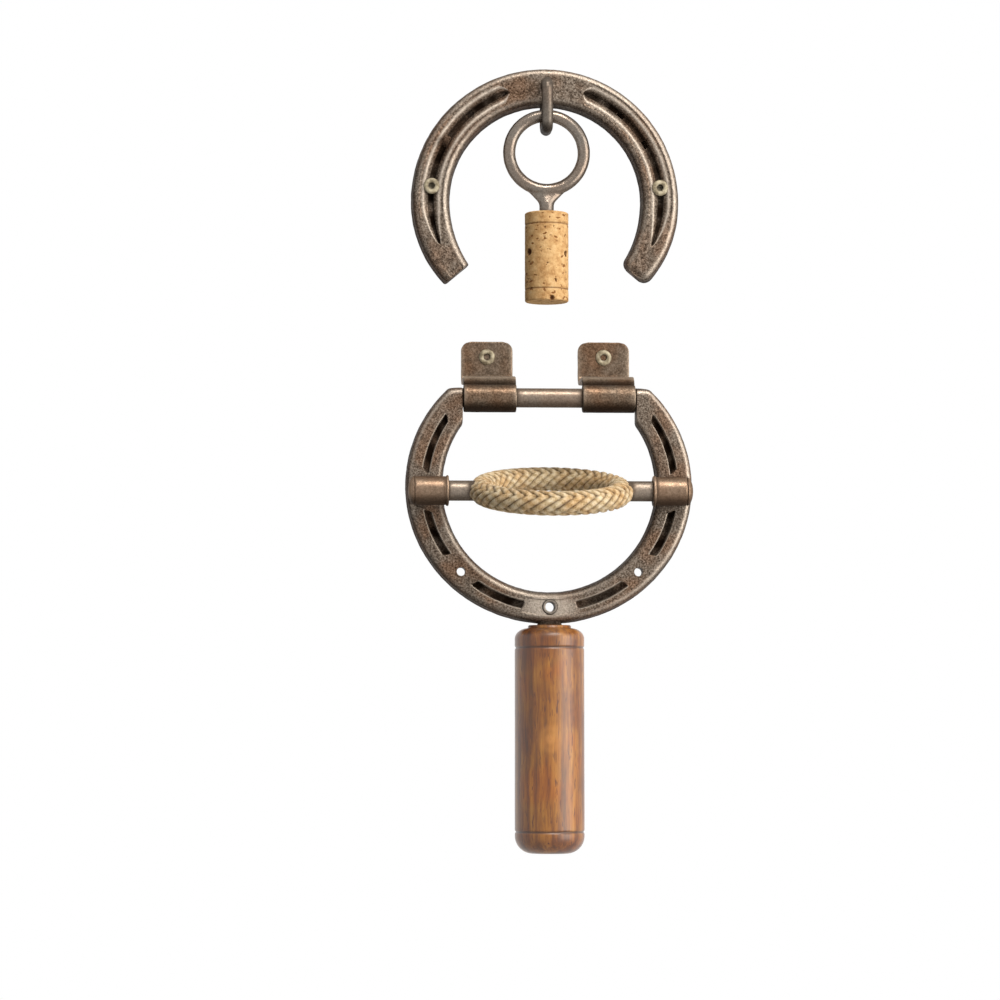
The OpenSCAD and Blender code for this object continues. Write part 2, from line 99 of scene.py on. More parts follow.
def steel(name, worn_and_highlight, patina, soot, metallic, rough, grit=0.9, blotch_mm=3.0):
    """Blued and waxed steel: bright where hands rub it and where highlights are painted, brown
    between, sooty in its hollows and dark where shade is painted.
    """
    made, tree = new_material(name)
    place = add(tree, "TexCoord", {}, {}).outputs["Object"]
    blotch = add(tree, "TexNoise", {}, {"Vector": place, "Scale": 1 / (blotch_mm * MM),
                                        "Detail": 5, "Roughness": 0.66})
    # Grains of scale are about 0.3 mm, drawn at 0.75 mm so that they show.
    grain = add(tree, "TexNoise", {}, {"Vector": place, "Scale": 1 / (0.75 * MM),
                                       "Detail": 3, "Roughness": 0.7})
    # Heat left warmer patches, about 14 mm across.
    cast = add(tree, "TexNoise", {}, {"Vector": place, "Scale": 1 / (14 * MM), "Detail": 2})
    tone = add(tree, "Mix", {"data_type": "RGBA"},
               {0: blotch.outputs[0], 6: linear(soot), 7: linear(worn_and_highlight)})
    even = add(tree, "Mix", {"data_type": "RGBA"}, {0: 0.42, 6: tone.outputs[2], 7: linear(patina)})
    speck = add(tree, "ValToRGB",
                {"stops": [(0.34, "#41372f"), (0.5, "#bdb5ad"), (0.62, "#ffffff")]},
                {0: grain.outputs[0]})
    speckled = add(tree, "Mix", {"data_type": "RGBA", "blend_type": "MULTIPLY"},
                   {0: grit, 6: even.outputs[2], 7: speck.outputs[0]})
    warm = add(tree, "ValToRGB", {"stops": [(0.42, "#ffffff"), (0.62, "#ffdcc2")]},
               {0: cast.outputs[0]})
    warmed = add(tree, "Mix", {"data_type": "RGBA", "blend_type": "MULTIPLY"},
                 {0: 0.7, 6: speckled.outputs[2], 7: warm.outputs[0]})
    # The worn colour comes in with rubbing and with painted highlights.
    wear = add(tree, "Attribute", {"attribute_name": "wear"}, {}).outputs["Fac"]
    broken = add(tree, "Math", {"operation": "MULTIPLY"}, {0: wear, 1: grain.outputs[0]})
    share = add(tree, "Math", {"operation": "MULTIPLY", "use_clamp": True},
                {0: broken.outputs[0], 1: 1.6})
    rubbed_and_highlit = add(tree, "Mix", {"data_type": "RGBA"},
                 {0: share.outputs[0], 6: warmed.outputs[2], 7: linear(worn_and_highlight)})
    # The soot colour comes in with real soot and with painted shade.
    dirt = add(tree, "Attribute", {"attribute_name": "dirt"}, {}).outputs["Fac"]
    dirty_and_shaded = add(tree, "Mix", {"data_type": "RGBA"},
                {0: dirt, 6: rubbed_and_highlit.outputs[2], 7: linear(soot)})
    # Soot, old polish and painted shade hide the metal under them.
    bare = add(tree, "MapRange", {}, {0: dirt, 1: 0, 2: 0.8, 3: metallic, 4: 0.0})
    dull = add(tree, "MapRange", {},
               {0: blotch.outputs[0], 1: 0.3, 2: 0.7, 3: rough + 0.1, 4: rough - 0.06})
    duller = add(tree, "Math", {"operation": "MULTIPLY_ADD", "use_clamp": True},
                 {0: dirt, 1: 0.4, 2: dull.outputs[0]})
    height = add(tree, "Math", {"operation": "MULTIPLY_ADD"},
                 {0: grain.outputs[0], 1: 0.6 * grit, 2: blotch.outputs[0]})
    bump = add(tree, "Bump", {}, {"Strength": 0.5, "Distance": 0.3 * MM,
                                  "Height": height.outputs[0]})
    finish_material(tree, {"Base Color": dirty_and_shaded.outputs[2], "Metallic": bare.outputs[0],
                           "Roughness": duller.outputs[0], "Specular IOR Level": 0.15,
                           "Specular Tint": linear("#8a8078"), "Normal": bump.outputs[0]})
    return made


def mesh_object(name, points, faces):
    """An object in the scene with a mesh from points in millimetres."""
    mesh = bpy.data.meshes.new(name)
    mesh.from_pydata([tuple(MM * c for c in p) for p in points], [], [tuple(f) for f in faces])
    made = bpy.data.objects.new(name, mesh)
    bpy.context.scene.collection.objects.link(made)
    return made


def make_piece(name, points, faces, material, body, slot, marks=None, stands_for=()):
    """A piece shaded smooth, with marks of wear, dirt, painted highlight and painted shade on its
    points, riding on its body.
    """
    made = mesh_object(name, points, faces)
    for key, values in (marks or {}).items():
        layer = made.data.attributes.new(key, "FLOAT", "POINT")
        layer.data.foreach_set("value", np.full(len(points), values, np.float32))
    made.data.polygons.foreach_set("use_smooth", [True] * len(made.data.polygons))
    made.data.materials.append(material)
    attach(made, body)
    if stands_for:
        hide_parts(*stands_for)
    fix_normals(made)
    return made


def fix_normals(piece):
    shape = bmesh.new()
    shape.from_mesh(piece.data)
    bmesh.ops.recalc_face_normals(shape, faces=shape.faces)
    shape.to_mesh(piece.data)
    shape.free()


def skin(rings, loop=False, capped=True):
    """Points and faces of a skin through rings of equal length."""
    n, count = len(rings[0]), len(rings)
    points = np.concatenate(rings)
    faces = []
    for i in range(count if loop else count - 1):
        a, b = i * n, (i + 1) % count * n
        faces += [(a + k, a + (k + 1) % n, b + (k + 1) % n, b + k) for k in range(n)]
    if capped and not loop:
        faces += [tuple(range(n))[::-1], tuple((count - 1) * n + k for k in range(n))]
    return points, faces


def hammer(piece, depth_mm, size_mm, fixed=None):
    """Presses shallow forge marks inwards into a piece, except at points that fixed() names."""
    broad, small, small_times, sharpness = 0.65, 0.35, 3.1, 1.6
    moved = []
    for v in piece.data.vertices:
        p = v.co / MM
        share = broad * noise.noise(p / size_mm) + small * noise.noise(p / size_mm * small_times)
        depth = depth_mm * (0.5 + 0.5 * max(-1, min(1, sharpness * share)))
        moved.append(v.co if fixed and fixed(p) else v.co - v.normal * depth * MM)
    for v, co in zip(piece.data.vertices, moved):
        v.co = co
    piece.data.update()


def smooth_step(x):
    x = np.clip(x, 0, 1)
    return x * x * (3 - 2 * x)


def near(distance, reach):
    """1 at an edge, falling off over a reach away from it."""
    return math.exp(-max(0.0, distance) / reach)


def band(x, at, half):
    """1 at a place, falling off on both sides of it."""
    return math.exp(-((x - at) / half) ** 2)


def circle(count):
    """Angles evenly spaced round a circle."""
    return [2 * math.pi * k / count for k in range(count)]


# A groove narrows to points at its ends and runs out over a short slope there.
POINT_SHARE, POINT_POWER, RUN_OUT, UNCUT_HALF = 0.12, 0.7, 0.8, 2.0


def groove_shape(along, slots):
    """Half width and depth of the groove at a distance along the arm, in millimetres."""
    for start, end, half, depth, point_start, point_end in slots:
        if start <= along <= end:
            narrow = min(1, (along - start) / point_start, (end - along) / point_end)
            blunt = smooth_step(min(along - start, end - along) / RUN_OUT)
            return half * (POINT_SHARE + (1 - POINT_SHARE) * narrow ** POINT_POWER), depth * blunt
    return UNCUT_HALF, 0.0


# The bar's side walls lean in, its back edges are chamfered and its face is a little hollow.
EDGE_R, CORNER_LEAN, WALL_LEAN, CHAMFER, FACE_DIP = 2.8, 0.7, 0.63, 0.5, 0.12
# Soot and painted shade on the side walls, heaviest at the back by the wall, and on the rounded
# edges.
WALL_SOOT_AND_SHADE_BACK, WALL_SOOT_AND_SHADE_FALL, EDGE_SOOT_AND_SHADE, BACK_DIRT = 0.85, 0.55, 0.75, 0.12
# Degrees round the front edge, from the side to the face: where rubbing and the painted highlight
# lie, and where soot and painted shade end.
RUB_AND_HIGHLIGHT_AT, RUB_AND_HIGHLIGHT_HALF, SOOT_AND_SHADE_END, SOOT_AND_SHADE_RUN = 62, 18, 70, 60
# Groove sections as (share of half width, share of depth) rows, one with bevelled lips and one
# punched straight, and the places across them at which the face has points.
BEVELLED = [(0, 1), (0.2, 1), (0.3, 0.93), (0.36, 0.4), (0.46, 0.25), (0.9, 0.06), (1, 0)]
PUNCHED = [(0, 1), (0.6, 1), (0.78, 0.95), (0.92, 0.3), (1, 0.1), (1.1, 0.02), (1.2, 0)]
ACROSS = [1.6, 1.35, 1.2, 1.08, 0.98, 0.9, 0.78, 0.62, 0.46, 0.36, 0.3, 0.2, 0.1]
LIP_AT, LIP_HALF = 1.02, 0.2
# Soot by share of depth: none on the face, all of it in the bottom.
GROOVE_SOOT = ((0.02, 0.15, 0.3, 0.8), (0, 0.4, 0.5, 1))
FULL_DEPTH = 1.2


def bar_side(width, front_y, edge, rub_and_light):
    """One side of the bar as (across, out, dirt and shade, wear and highlight) rows: its wall, then
    its rounded edge.
    """
    # The wall is darkened with soot and painted shade; the edge gets painted shade where it faces
    # away from the light and a painted highlight where it faces it.
    rows = [(width / 2 - WALL_LEAN * share, CHAMFER + (front_y - CHAMFER) * share,
             WALL_SOOT_AND_SHADE_BACK - WALL_SOOT_AND_SHADE_FALL * share, 0) for share in np.linspace(0, 1, 5)]
    for a in np.linspace(0, 90, 9)[1:]:
        rows.append((width / 2 - CORNER_LEAN - edge + edge * math.cos(math.radians(a)),
                     front_y + edge * math.sin(math.radians(a)),
                     EDGE_SOOT_AND_SHADE * (1 - rub_and_light) * smooth_step((SOOT_AND_SHADE_END - a) / SOOT_AND_SHADE_RUN),
                     rub_and_light * band(a, RUB_AND_HIGHLIGHT_AT, RUB_AND_HIGHLIGHT_HALF)))
    return rows


def bar_contour(width, thick, half, depth, edge, cut_shape, polish, rub_and_light_in, rub_and_light_out):
    """Section of the forged bar as (across, out, dirt and shade, wear and highlight) rows, from the
    back round to it.
    """
    front_y = thick - edge
    rows = [(-x, y, dirt, wear) for x, y, dirt, wear in bar_side(width, front_y, edge, rub_and_light_in)]
    reach = width / 2 - CORNER_LEAN - edge
    deep = min(1, depth / FULL_DEPTH)
    for s in [-s for s in ACROSS] + [0] + ACROSS[::-1]:
        cut = float(np.interp(abs(s), *zip(*cut_shape)))
        soot = float(np.interp(cut, *GROOVE_SOOT)) * polish
        rows.append((max(-reach, min(reach, s * half)), thick - FACE_DIP - depth * cut, deep * soot,
                     deep * band(abs(s), LIP_AT, LIP_HALF)))
    rows += bar_side(width, front_y, edge, rub_and_light_out)[::-1]
    rows += [(x, 0, BACK_DIRT, 0) for x in np.linspace(width / 2 - CHAMFER, CHAMFER - width / 2, 7)]
    return np.array(rows)


SECTION_STEP, HEEL_DROP = 0.42, 1.4
FORGE_DEPTH, FORGE_SIZE = 0.16, 3.2
# Old polish lies in the groove in patches. Edges that face the light at the upper right get a
# painted highlight with their rubbing, and edges that face away get painted shade.
POLISH_LEAST, POLISH_MEAN, POLISH_SWING, POLISH_PATCH = 0.35, 0.8, 0.9, 5.5
LIGHT_RIGHT, LIGHT_UP = 0.72, 0.4


def shoe(name, inner, outer, back_y, edge, cut_shape, slots, heel_rounds, material, body):
    """A forged shoe between two plan curves, given as functions of -1 to 1 from heel to heel."""
    coarse = np.linspace(-1, 1, 1201)
    mids = np.array([(np.array(inner(s)) + np.array(outer(s))) / 2 for s in coarse])
    run = np.concatenate([[0], np.cumsum(np.linalg.norm(np.diff(mids, axis=0), axis=1))])
    total = run[-1]
    turn = np.linspace(0, math.pi / 2, 9)[:-1]
    starts = [heel_rounds[0] * (1 - math.cos(t)) for t in turn]
    ends = [total - heel_rounds[1] * (1 - math.cos(t)) for t in turn][::-1]
    middle = np.arange(heel_rounds[0], total - heel_rounds[1], SECTION_STEP)
    rings, dirt, wear = [], [], []
    for place in np.concatenate([starts, middle, ends]):
        s = np.interp(place, run, coarse)
        p_in, p_out = np.array(inner(s)), np.array(outer(s))
        width = np.linalg.norm(p_out - p_in)
        across = (p_out - p_in) / width
        mid = (p_in + p_out) / 2
        from_end, r = min((place, heel_rounds[0]), (total - place, heel_rounds[1]))
        tuck = r - math.sqrt(max(0, r * r - max(0, r - from_end) ** 2))
        half, depth = groove_shape(abs(place - total / 2), slots)
        patch = noise.noise(Vector((place / POLISH_PATCH, back_y, 4.0)))
        polish = min(1, max(POLISH_LEAST, POLISH_MEAN + POLISH_SWING * patch))
        # How much this side faces the light at the upper right, for the painted highlight and
        # shade.
        facing_light = LIGHT_RIGHT * across[0] + LIGHT_UP * across[1]
        rows = bar_contour(width - 2 * tuck, SHOE_T - min(tuck, HEEL_DROP), half, depth, edge,
                           cut_shape, polish, 0.5 - 0.5 * facing_light, 0.5 + 0.5 * facing_light)
        rings.append([(mid[0] + across[0] * u, back_y - out, mid[1] + across[1] * u)
                      for u, out, _, _ in rows])
        dirt += list(rows[:, 2])
        wear += list(rows[:, 3])
    points, faces = skin(rings)
    made = make_piece(name + "_forged", points, faces, material, body, "forged_steel",
                      {"dirt": dirt, "wear": wear}, (name,))
    hammer(made, FORGE_DEPTH, FORGE_SIZE, lambda p: p[1] > back_y - 0.2)
    return made


def apply_steps(piece):
    """Makes a piece's modifiers part of its mesh for good."""
    bpy.context.view_layer.update()
    evaluated = piece.evaluated_get(bpy.context.evaluated_depsgraph_get())
    final = bpy.data.meshes.new_from_object(evaluated)
    piece.modifiers.clear()
    old = piece.data
    piece.data = final
    bpy.data.meshes.remove(old)


def cut_holes(piece, cutters):
    """Cuts closed meshes out of a piece for good, then deletes them."""
    for cutter in cutters:
        fix_normals(cutter)
        step = piece.modifiers.new("hole", "BOOLEAN")
        step.object = cutter
        step.operation = "DIFFERENCE"
        step.solver = "EXACT"
    apply_steps(piece)
    for cutter in cutters:
        bpy.data.objects.remove(cutter)


def block_cutter(centre, size, turn_deg):
    """A rectangular punch through a shoe, turned about the y axis."""
    turn = Matrix.Rotation(math.radians(turn_deg), 3, "Y")
    corners = [Vector(centre) + turn @ Vector([s * d / 2 for s, d in zip((sx, sy, sz), size)])
               for sx in (-1, 1) for sy in (-1, 1) for sz in (-1, 1)]
    faces = [(0, 1, 3, 2), (4, 6, 7, 5), (0, 4, 5, 1), (2, 3, 7, 6), (0, 2, 6, 4), (1, 5, 7, 3)]
    return mesh_object("punch", corners, faces)


def node_box(node):
    low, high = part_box(node)
    return [c / MM for c in low], [c / MM for c in high]


forged = steel("blued_forged_steel", "#c8bcae", "#7a6c60", "#1d140d", 0.55, 0.4)
upper_low, upper_high = node_box("upper_shoe")
UPPER_OUT_R = (upper_high[0] - upper_low[0]) / 2
UPPER_WEB = 16.4
UPPER_IN_R = UPPER_OUT_R - UPPER_WEB
UPPER_MID_R = (UPPER_OUT_R + UPPER_IN_R) / 2
UPPER_Z = upper_high[2] - UPPER_OUT_R
UPPER_SWEEP, NARROW_FROM, NARROW_MM = 130.0, 92, 1.5
GROOVE_DEG, GROOVE_HALF, GROOVE_DEPTH, GROOVE_POINTS = (19, 113), 3.2, 2.6, (3.0, 16.0)
HEEL_ROUNDS = (0.9, 3.4)
PIT_DEG, PIT_SIZE = (41, 60), (3.4, 10, 2.2)


def upper_plan(r, narrow):
    """A side of the upper shoe. The web narrows towards the heels."""
    def plan(s):
        a = math.radians(UPPER_SWEEP * s)
        past = max(0, (abs(s) * UPPER_SWEEP - NARROW_FROM) / (UPPER_SWEEP - NARROW_FROM))
        reach = r + narrow * past ** 2
        return reach * math.sin(a), UPPER_Z + reach * math.cos(a)
    return plan


groove = [math.radians(deg) * UPPER_MID_R for deg in GROOVE_DEG]
upper_shoe = shoe("upper_shoe", upper_plan(UPPER_IN_R, NARROW_MM),
                  upper_plan(UPPER_OUT_R, -NARROW_MM), 0.0, EDGE_R, BEVELLED,
                  [(*groove, GROOVE_HALF, GROOVE_DEPTH, *GROOVE_POINTS)], HEEL_ROUNDS, forged,
                  "wall_set")
cut_holes(upper_shoe, [
    block_cutter((side * UPPER_MID_R * math.sin(math.radians(deg)), -SHOE_T,
                  UPPER_Z + UPPER_MID_R * math.cos(math.radians(deg))), PIT_SIZE, side * deg)
    for side in (-1, 1) for deg in PIT_DEG])

# ---- Wood screws ----
# Four 3.5 mm wood screws with raised countersunk heads and hexagon sockets: two hold the upper
# shoe, two the brackets, with their threads in the wall. Brass-plated steel gone cream with wax,
# dark in the sockets, with a thin line of painted shade round each head's edge.
CROWN, CONE = 0.9, 1.65
CORE_R, CREST_R, PITCH, PLAIN_NECK, TIP_TAPER = 1.25, 1.72, 1.3, 6, 5.0
SOCKET_R, SOCKET_D, SOCKET_FLAT = 1.25, 1.75, 0.93
SCREW_SIDES = 72
# The head's crown as (radius, distance from its front), from the socket's rim outwards.
HEAD = [(1.3, 0.36), (1.42, 0.26), (1.6, 0.16), (1.85, 0.06), (2.15, 0.0), (2.4, 0.03),
        (2.7, 0.13), (2.95, 0.28), (3.15, 0.45), (3.3, 0.65)]


def turned(profile, sides, centre, axis, height=None):
    """Rings of a turned shape. Profile rows are (radius, distance along the axis)."""
    axis = Vector(axis).normalized()
    side = axis.orthogonal().normalized()
    other = axis.cross(side)
    rings = []
    for row in profile:
        ring = []
        for a in circle(sides):
            r, out = height(*row, a) if height else row
            around = side * math.cos(a) + other * math.sin(a)
            ring.append(tuple(Vector(centre) + axis * out + around * r))
        rings.append(ring)
    return rings


def screw_metal():
    made, tree = new_material("waxed_brass")
    place = add(tree, "TexCoord", {}, {}).outputs["Object"]
    # Tarnish gathers in spots about 1.6 mm across.
    tarnish = add(tree, "TexNoise", {}, {"Vector": place, "Scale": 1 / (1.6 * MM), "Detail": 4})
    tone = add(tree, "ValToRGB",
               {"stops": [(0.35, "#857b66"), (0.5, "#ada38a"), (0.68, "#cdc5ac")]},
               {0: tarnish.outputs[0]})
    dirt = add(tree, "Attribute", {"attribute_name": "dirt"}, {}).outputs["Fac"]
    # Dark in the sockets, and painted shade in a line round each head's edge.
    dark_and_shaded = add(tree, "Mix", {"data_type": "RGBA"},
                {0: dirt, 6: tone.outputs[0], 7: linear("#1c120a")})
    bump = add(tree, "Bump", {}, {"Strength": 0.3, "Distance": 0.15 * MM,
                                  "Height": tarnish.outputs[0]})
    finish_material(tree, {"Base Color": dark_and_shaded.outputs[2], "Roughness": 0.42,
                           "Specular IOR Level": 0.2, "Normal": bump.outputs[0]})
    return made


brass = screw_metal()


def screw_dirt_and_shade(r, out, head_r):
    """Dark in the socket and just round its rim, painted shade in a thin line round the head's
    edge, and less dark along the shank.
    """
    if r < SOCKET_R + 0.1 and out < 2:
        sunk = 1.0
    else:
        sunk = 0.55 * near(r - 1.35, 0.25) if out < 0.7 else 0.7
    return max(sunk, 0.6 * near(head_r - r, 0.12)) if out < CROWN + 0.2 else 0.6


def wood_screw(node, turn_deg):
    low, high = node_box(node)
    head_r = (high[0] - low[0]) / 2
    front, length = low[1], high[1] - low[1]
    profile = [(r, SOCKET_D) for r in (0.02, 0.6, SOCKET_R - 0.05)]
    profile += [(SOCKET_R, out) for out in (1.6, 1.2, 0.8, 0.5)] + HEAD
    profile += [(head_r, CROWN + 0.05), (head_r, CROWN + 0.12), (CORE_R + 0.5, CROWN + CONE)]
    profile += [(CREST_R if out < CROWN + PLAIN_NECK else CORE_R, out)
                for out in np.arange(CROWN + CONE + 0.3, length - 0.2, 0.16)]
    profile.append((0.05, length))

    def shape(r, out, a):
        """Presses the hexagon into the socket and winds the thread round the shank."""
        a += math.radians(turn_deg)
        if r < 1.45 and out <= SOCKET_D:
            flat = (a / math.radians(60)) % 1.0 * 60 - 30
            hexagon = SOCKET_FLAT / math.cos(math.radians(flat))
            return r * (hexagon if r < 1.3 else 0.5 + 0.5 * hexagon), out
        if out > CROWN + PLAIN_NECK:
            phase = (out / PITCH - a / (2 * math.pi)) % 1.0
            rise = max(0.0, 1 - abs(phase - 0.5) / 0.3)
            taper = min(1.0, (length - out) / TIP_TAPER)
            return (CORE_R + (CREST_R - CORE_R) * rise) * taper + 0.04, out
        return r, out

    centre = ((low[0] + high[0]) / 2, front, (low[2] + high[2]) / 2)
    points, faces = skin(turned(profile, SCREW_SIDES, centre, (0, 1, 0), shape))
    dirt = np.repeat([screw_dirt_and_shade(r, out, head_r) for r, out in profile], SCREW_SIDES)
    make_piece(node + "_turned", points, faces, brass, "wall_set", "brass_screws",
               {"dirt": dirt}, (node,))


for node, turn_deg in (("upper_screw_left", 20), ("upper_screw_right", 63),
                       ("bracket_screw_left", 38), ("bracket_screw_right", 8)):
    wood_screw(node, turn_deg)

# ---- Staple ----
# A staple of 4.9 mm round bar: one leg driven into the toe's face, the other up into its edge.
# Hot-bent dark steel, smoother than the shoe, with painted shade darkening its lower bar.
# The eye hangs on that bar.
dark = steel("dark_blued_steel", "#a69c91", "#463f39", "#15100b", 0.9, 0.24, 0.3)
staple_low, staple_high = node_box("hanging_staple")
STAPLE_R = (staple_high[0] - staple_low[0]) / 2
STAPLE_BEND_R = 3.2
STAPLE_REAR_Y = -SHOE_T / 2 - 0.4
STAPLE_TIP_Z = UPPER_Z + UPPER_IN_R + 4.1


def rounded_path(corners, radius, step=0.5):
    """Points along straight runs joined by arcs, evenly enough to sweep."""
    corners = [Vector(c) for c in corners]
    path = [corners[0]]
    for before, at, after in zip(corners, corners[1:], corners[2:]):
        d_in, d_out = (at - before).normalized(), (after - at).normalized()
        half = d_in.angle(d_out) / 2
        cut = radius * math.tan(half)
        centre = at + (d_out - d_in).normalized() * radius / math.cos(half)
        first = at - d_in * cut
        count = max(6, int(2 * half * radius / step))
        axis = d_in.cross(d_out).normalized()
        for k in range(count + 1):
            path.append(centre + Matrix.Rotation(2 * half * k / count, 3, axis) @ (first - centre))
    path.append(corners[-1])
    fine = [path[0]]
    for a, b in zip(path, path[1:]):
        parts = max(1, round((b - a).length / step))
        fine += [a.lerp(b, k / parts) for k in range(1, parts + 1)]
    return fine


def tube_rings(path, radius_at, sides, loop=False):
    """Rings round a path. radius_at gives the radius at a share of the length."""
    rings = []
    count = len(path)
    last = None
    for i, p in enumerate(path):
        ahead = path[(i + 1) % count] if loop or i + 1 < count else p
        behind = path[i - 1] if loop or i else p
        along = (ahead - behind).normalized()
        side = along.orthogonal() if last is None else last - along * last.dot(along)
        side.normalize()
        last = side
        other = along.cross(side)
        r = radius_at(i / (count - 1))
        rings.append([tuple(p + side * r * math.cos(a) + other * r * math.sin(a))
                      for a in circle(sides)])
    return rings


staple_front, staple_top = staple_low[1] + STAPLE_R, staple_high[2] - STAPLE_R
staple_bar = staple_low[2] + STAPLE_R
staple_path = rounded_path([(0, y, z) for y, z in (
    (staple_high[1], staple_top), (staple_front, staple_top), (staple_front, staple_bar),
    (STAPLE_REAR_Y, staple_bar), (STAPLE_REAR_Y, STAPLE_TIP_Z))], STAPLE_BEND_R)
points, faces = skin(tube_rings(staple_path, lambda s: STAPLE_R, 28))
# Painted shade: darker towards the lower bar.
staple_dirt_and_shade = [0.25 + 0.5 * float(smooth_step((staple_low[2] + 5 - p[2]) / 4)) for p in points]
staple = make_piece("staple_bent", points, faces, dark, "wall_set", "dark_steel",
                    {"wear": 0.3, "dirt": staple_dirt_and_shade}, ("hanging_staple",))
hammer(staple, 0.12, 2.6)

# ---- Eye ----
# The stopper's eye, forged from round bar: its ends are hammered together into a flat web,
# then drawn out to a shank whose spike holds the cork. Dark steel, as the staple.
eye_low, eye_high = node_box("eye_ring")
EYE_BAR_R = 2.65
EYE_OUT_R = (eye_high[0] - eye_low[0]) / 2
EYE_Z = eye_high[2] - EYE_OUT_R
EYE_Y = (eye_low[1] + eye_high[1]) / 2
EYE_R = EYE_OUT_R - EYE_BAR_R
CORK_TOP = node_box("cork")[1][2]
SHANK_R, WEB_SPREAD, WEB_FLATTEN = 3.1, 5.2, 1.15
SPIKE_R, SPIKE_POINT_R, SPIKE_POINT_L = 1.9, 0.25, 3
VOXEL_MM = 0.42


def flat_rings(rows, sides):
    """Level ovals round the eye's axis, from (height, half width, half thickness) rows."""
    return [[(hx * math.cos(a), EYE_Y + hy * math.sin(a), z) for a in circle(sides)]
            for z, hx, hy in rows]


eye_path = [Vector((EYE_R * math.sin(a), EYE_Y, EYE_Z + EYE_R * math.cos(a)))
            for a in circle(180)]
web_rows = []
for share in np.linspace(0, 1, 26):
    z = CORK_TOP + 0.05 + share * (EYE_Z - EYE_R + 0.8 - CORK_TOP)
    web_rows.append((z, SHANK_R + WEB_SPREAD * float(smooth_step((share - 0.3) / 0.7)),
                     SHANK_R - WEB_FLATTEN * float(smooth_step((share - 0.25) / 0.6))))
spike_rows = [(CORK_TOP + 1.0, SPIKE_R, SPIKE_R), (eye_low[2] + SPIKE_POINT_L, SPIKE_R, SPIKE_R),
              (eye_low[2], SPIKE_POINT_R, SPIKE_POINT_R)]
eye_points, eye_faces = [], []
for part in (skin(tube_rings(eye_path, lambda s: EYE_BAR_R, 32, loop=True), loop=True),
             skin(flat_rings(web_rows, 32)), skin(flat_rings(spike_rows, 20))):
    first = len(eye_points)
    eye_points += list(part[0])
    eye_faces += [tuple(first + i for i in face) for face in part[1]]
eye = make_piece("eye_forged", eye_points, eye_faces, dark, "stopper", "dark_steel", None,
                 ("eye_ring",))

# A fine remesh makes the three parts one forging.
remesh = eye.modifiers.new("remesh", "REMESH")
remesh.mode = "VOXEL"
remesh.voxel_size = VOXEL_MM * MM
smooth = eye.modifiers.new("smooth", "SMOOTH")
smooth.iterations, smooth.factor = 6, 0.5
apply_steps(eye)
eye.data.polygons.foreach_set("use_smooth", [True] * len(eye.data.polygons))


def mark(piece, **rules):
    """Stores wear, dirt, painted highlight and painted shade on a mesh, worked out from each
    point's place in millimetres.
    """
    for key, rule in rules.items():
        layer = piece.data.attributes.new(key, "FLOAT", "POINT")
        layer.data.foreach_set("value", [float(rule(v.co / MM)) for v in piece.data.vertices])


mark(eye, wear=lambda p: 0.4, dirt=lambda p: 0.85 * near(p[2] - CORK_TOP, 0.8))
hammer(eye, 0.1, 2.4)

# ---- Cork ----
# A straight natural cork for an 18.5 mm bottle mouth, punched from bark, so its pores run across
# it. Two thin lines are burnt round it near its ends. It is driven up the spike to the eye's shank.


def cork_bark():
    made, tree = new_material("natural_cork")
    place = add(tree, "TexCoord", {}, {}).outputs["Object"]
    # Cork grows in soft clouds of 2 to 3 mm, with a crumb of 0.8 mm.
    cells = add(tree, "TexNoise", {}, {"Vector": place, "Scale": 1 / (2.6 * MM),
                                       "Detail": 6, "Roughness": 0.7})
    fine = add(tree, "TexNoise", {}, {"Vector": place, "Scale": 1 / (0.8 * MM), "Detail": 3})
    tone = add(tree, "ValToRGB", {"stops": [(0.3, "#a97c4b"), (0.46, "#cba16d"),
                                            (0.56, "#d9b37e"), (0.72, "#e6c594")]},
               {0: cells.outputs[0]})
    # Pores are 0.3 to 1 mm, in short streaks across the cork.
    stretch = add(tree, "Mapping", {}, {"Vector": place, "Scale": (0.75, 0.75, 1.25)})
    pores = add(tree, "TexNoise", {}, {"Vector": stretch.outputs[0], "Scale": 1 / (1.9 * MM),
                                       "Detail": 2, "Roughness": 0.45})
    pore = add(tree, "ValToRGB", {"stops": [(0.635, "#000000"), (0.675, "#ffffff")]},
               {0: pores.outputs[0]})
    pored = add(tree, "Mix", {"data_type": "RGBA"},
                {0: pore.outputs[0], 6: tone.outputs[0], 7: linear("#8a5c31")})
    dirt = add(tree, "Attribute", {"attribute_name": "dirt"}, {}).outputs["Fac"]
    burnt = add(tree, "Mix", {"data_type": "RGBA"},
                {0: dirt, 6: pored.outputs[2], 7: linear("#5a3618")})
    height = add(tree, "Math", {"operation": "MULTIPLY_ADD"},
                 {0: pore.outputs[0], 1: -1.2, 2: fine.outputs[0]})
    bump = add(tree, "Bump", {}, {"Strength": 0.6, "Distance": 0.3 * MM,
                                  "Height": height.outputs[0]})
    finish_material(tree, {"Base Color": burnt.outputs[2], "Roughness": 0.85,
                           "Specular IOR Level": 0.25, "Normal": bump.outputs[0]})
    return made


bark = cork_bark()
cork_low, cork_high = node_box("cork")
CORK_R = (cork_high[0] - cork_low[0]) / 2
CORK_L = cork_high[2] - cork_low[2]
CORK_SIDES, CORK_EDGE, CORK_END_SHARES = 144, 0.7, (0.2, 0.4, 0.6, 0.8, 0.9)
CORK_LINES, CORK_LINE_W, CORK_LINE_D = (5.1, CORK_L - 5.1), 0.3, 0.14
CORK_CRUMB, CORK_CRUMB_MM = 0.12, 1.4
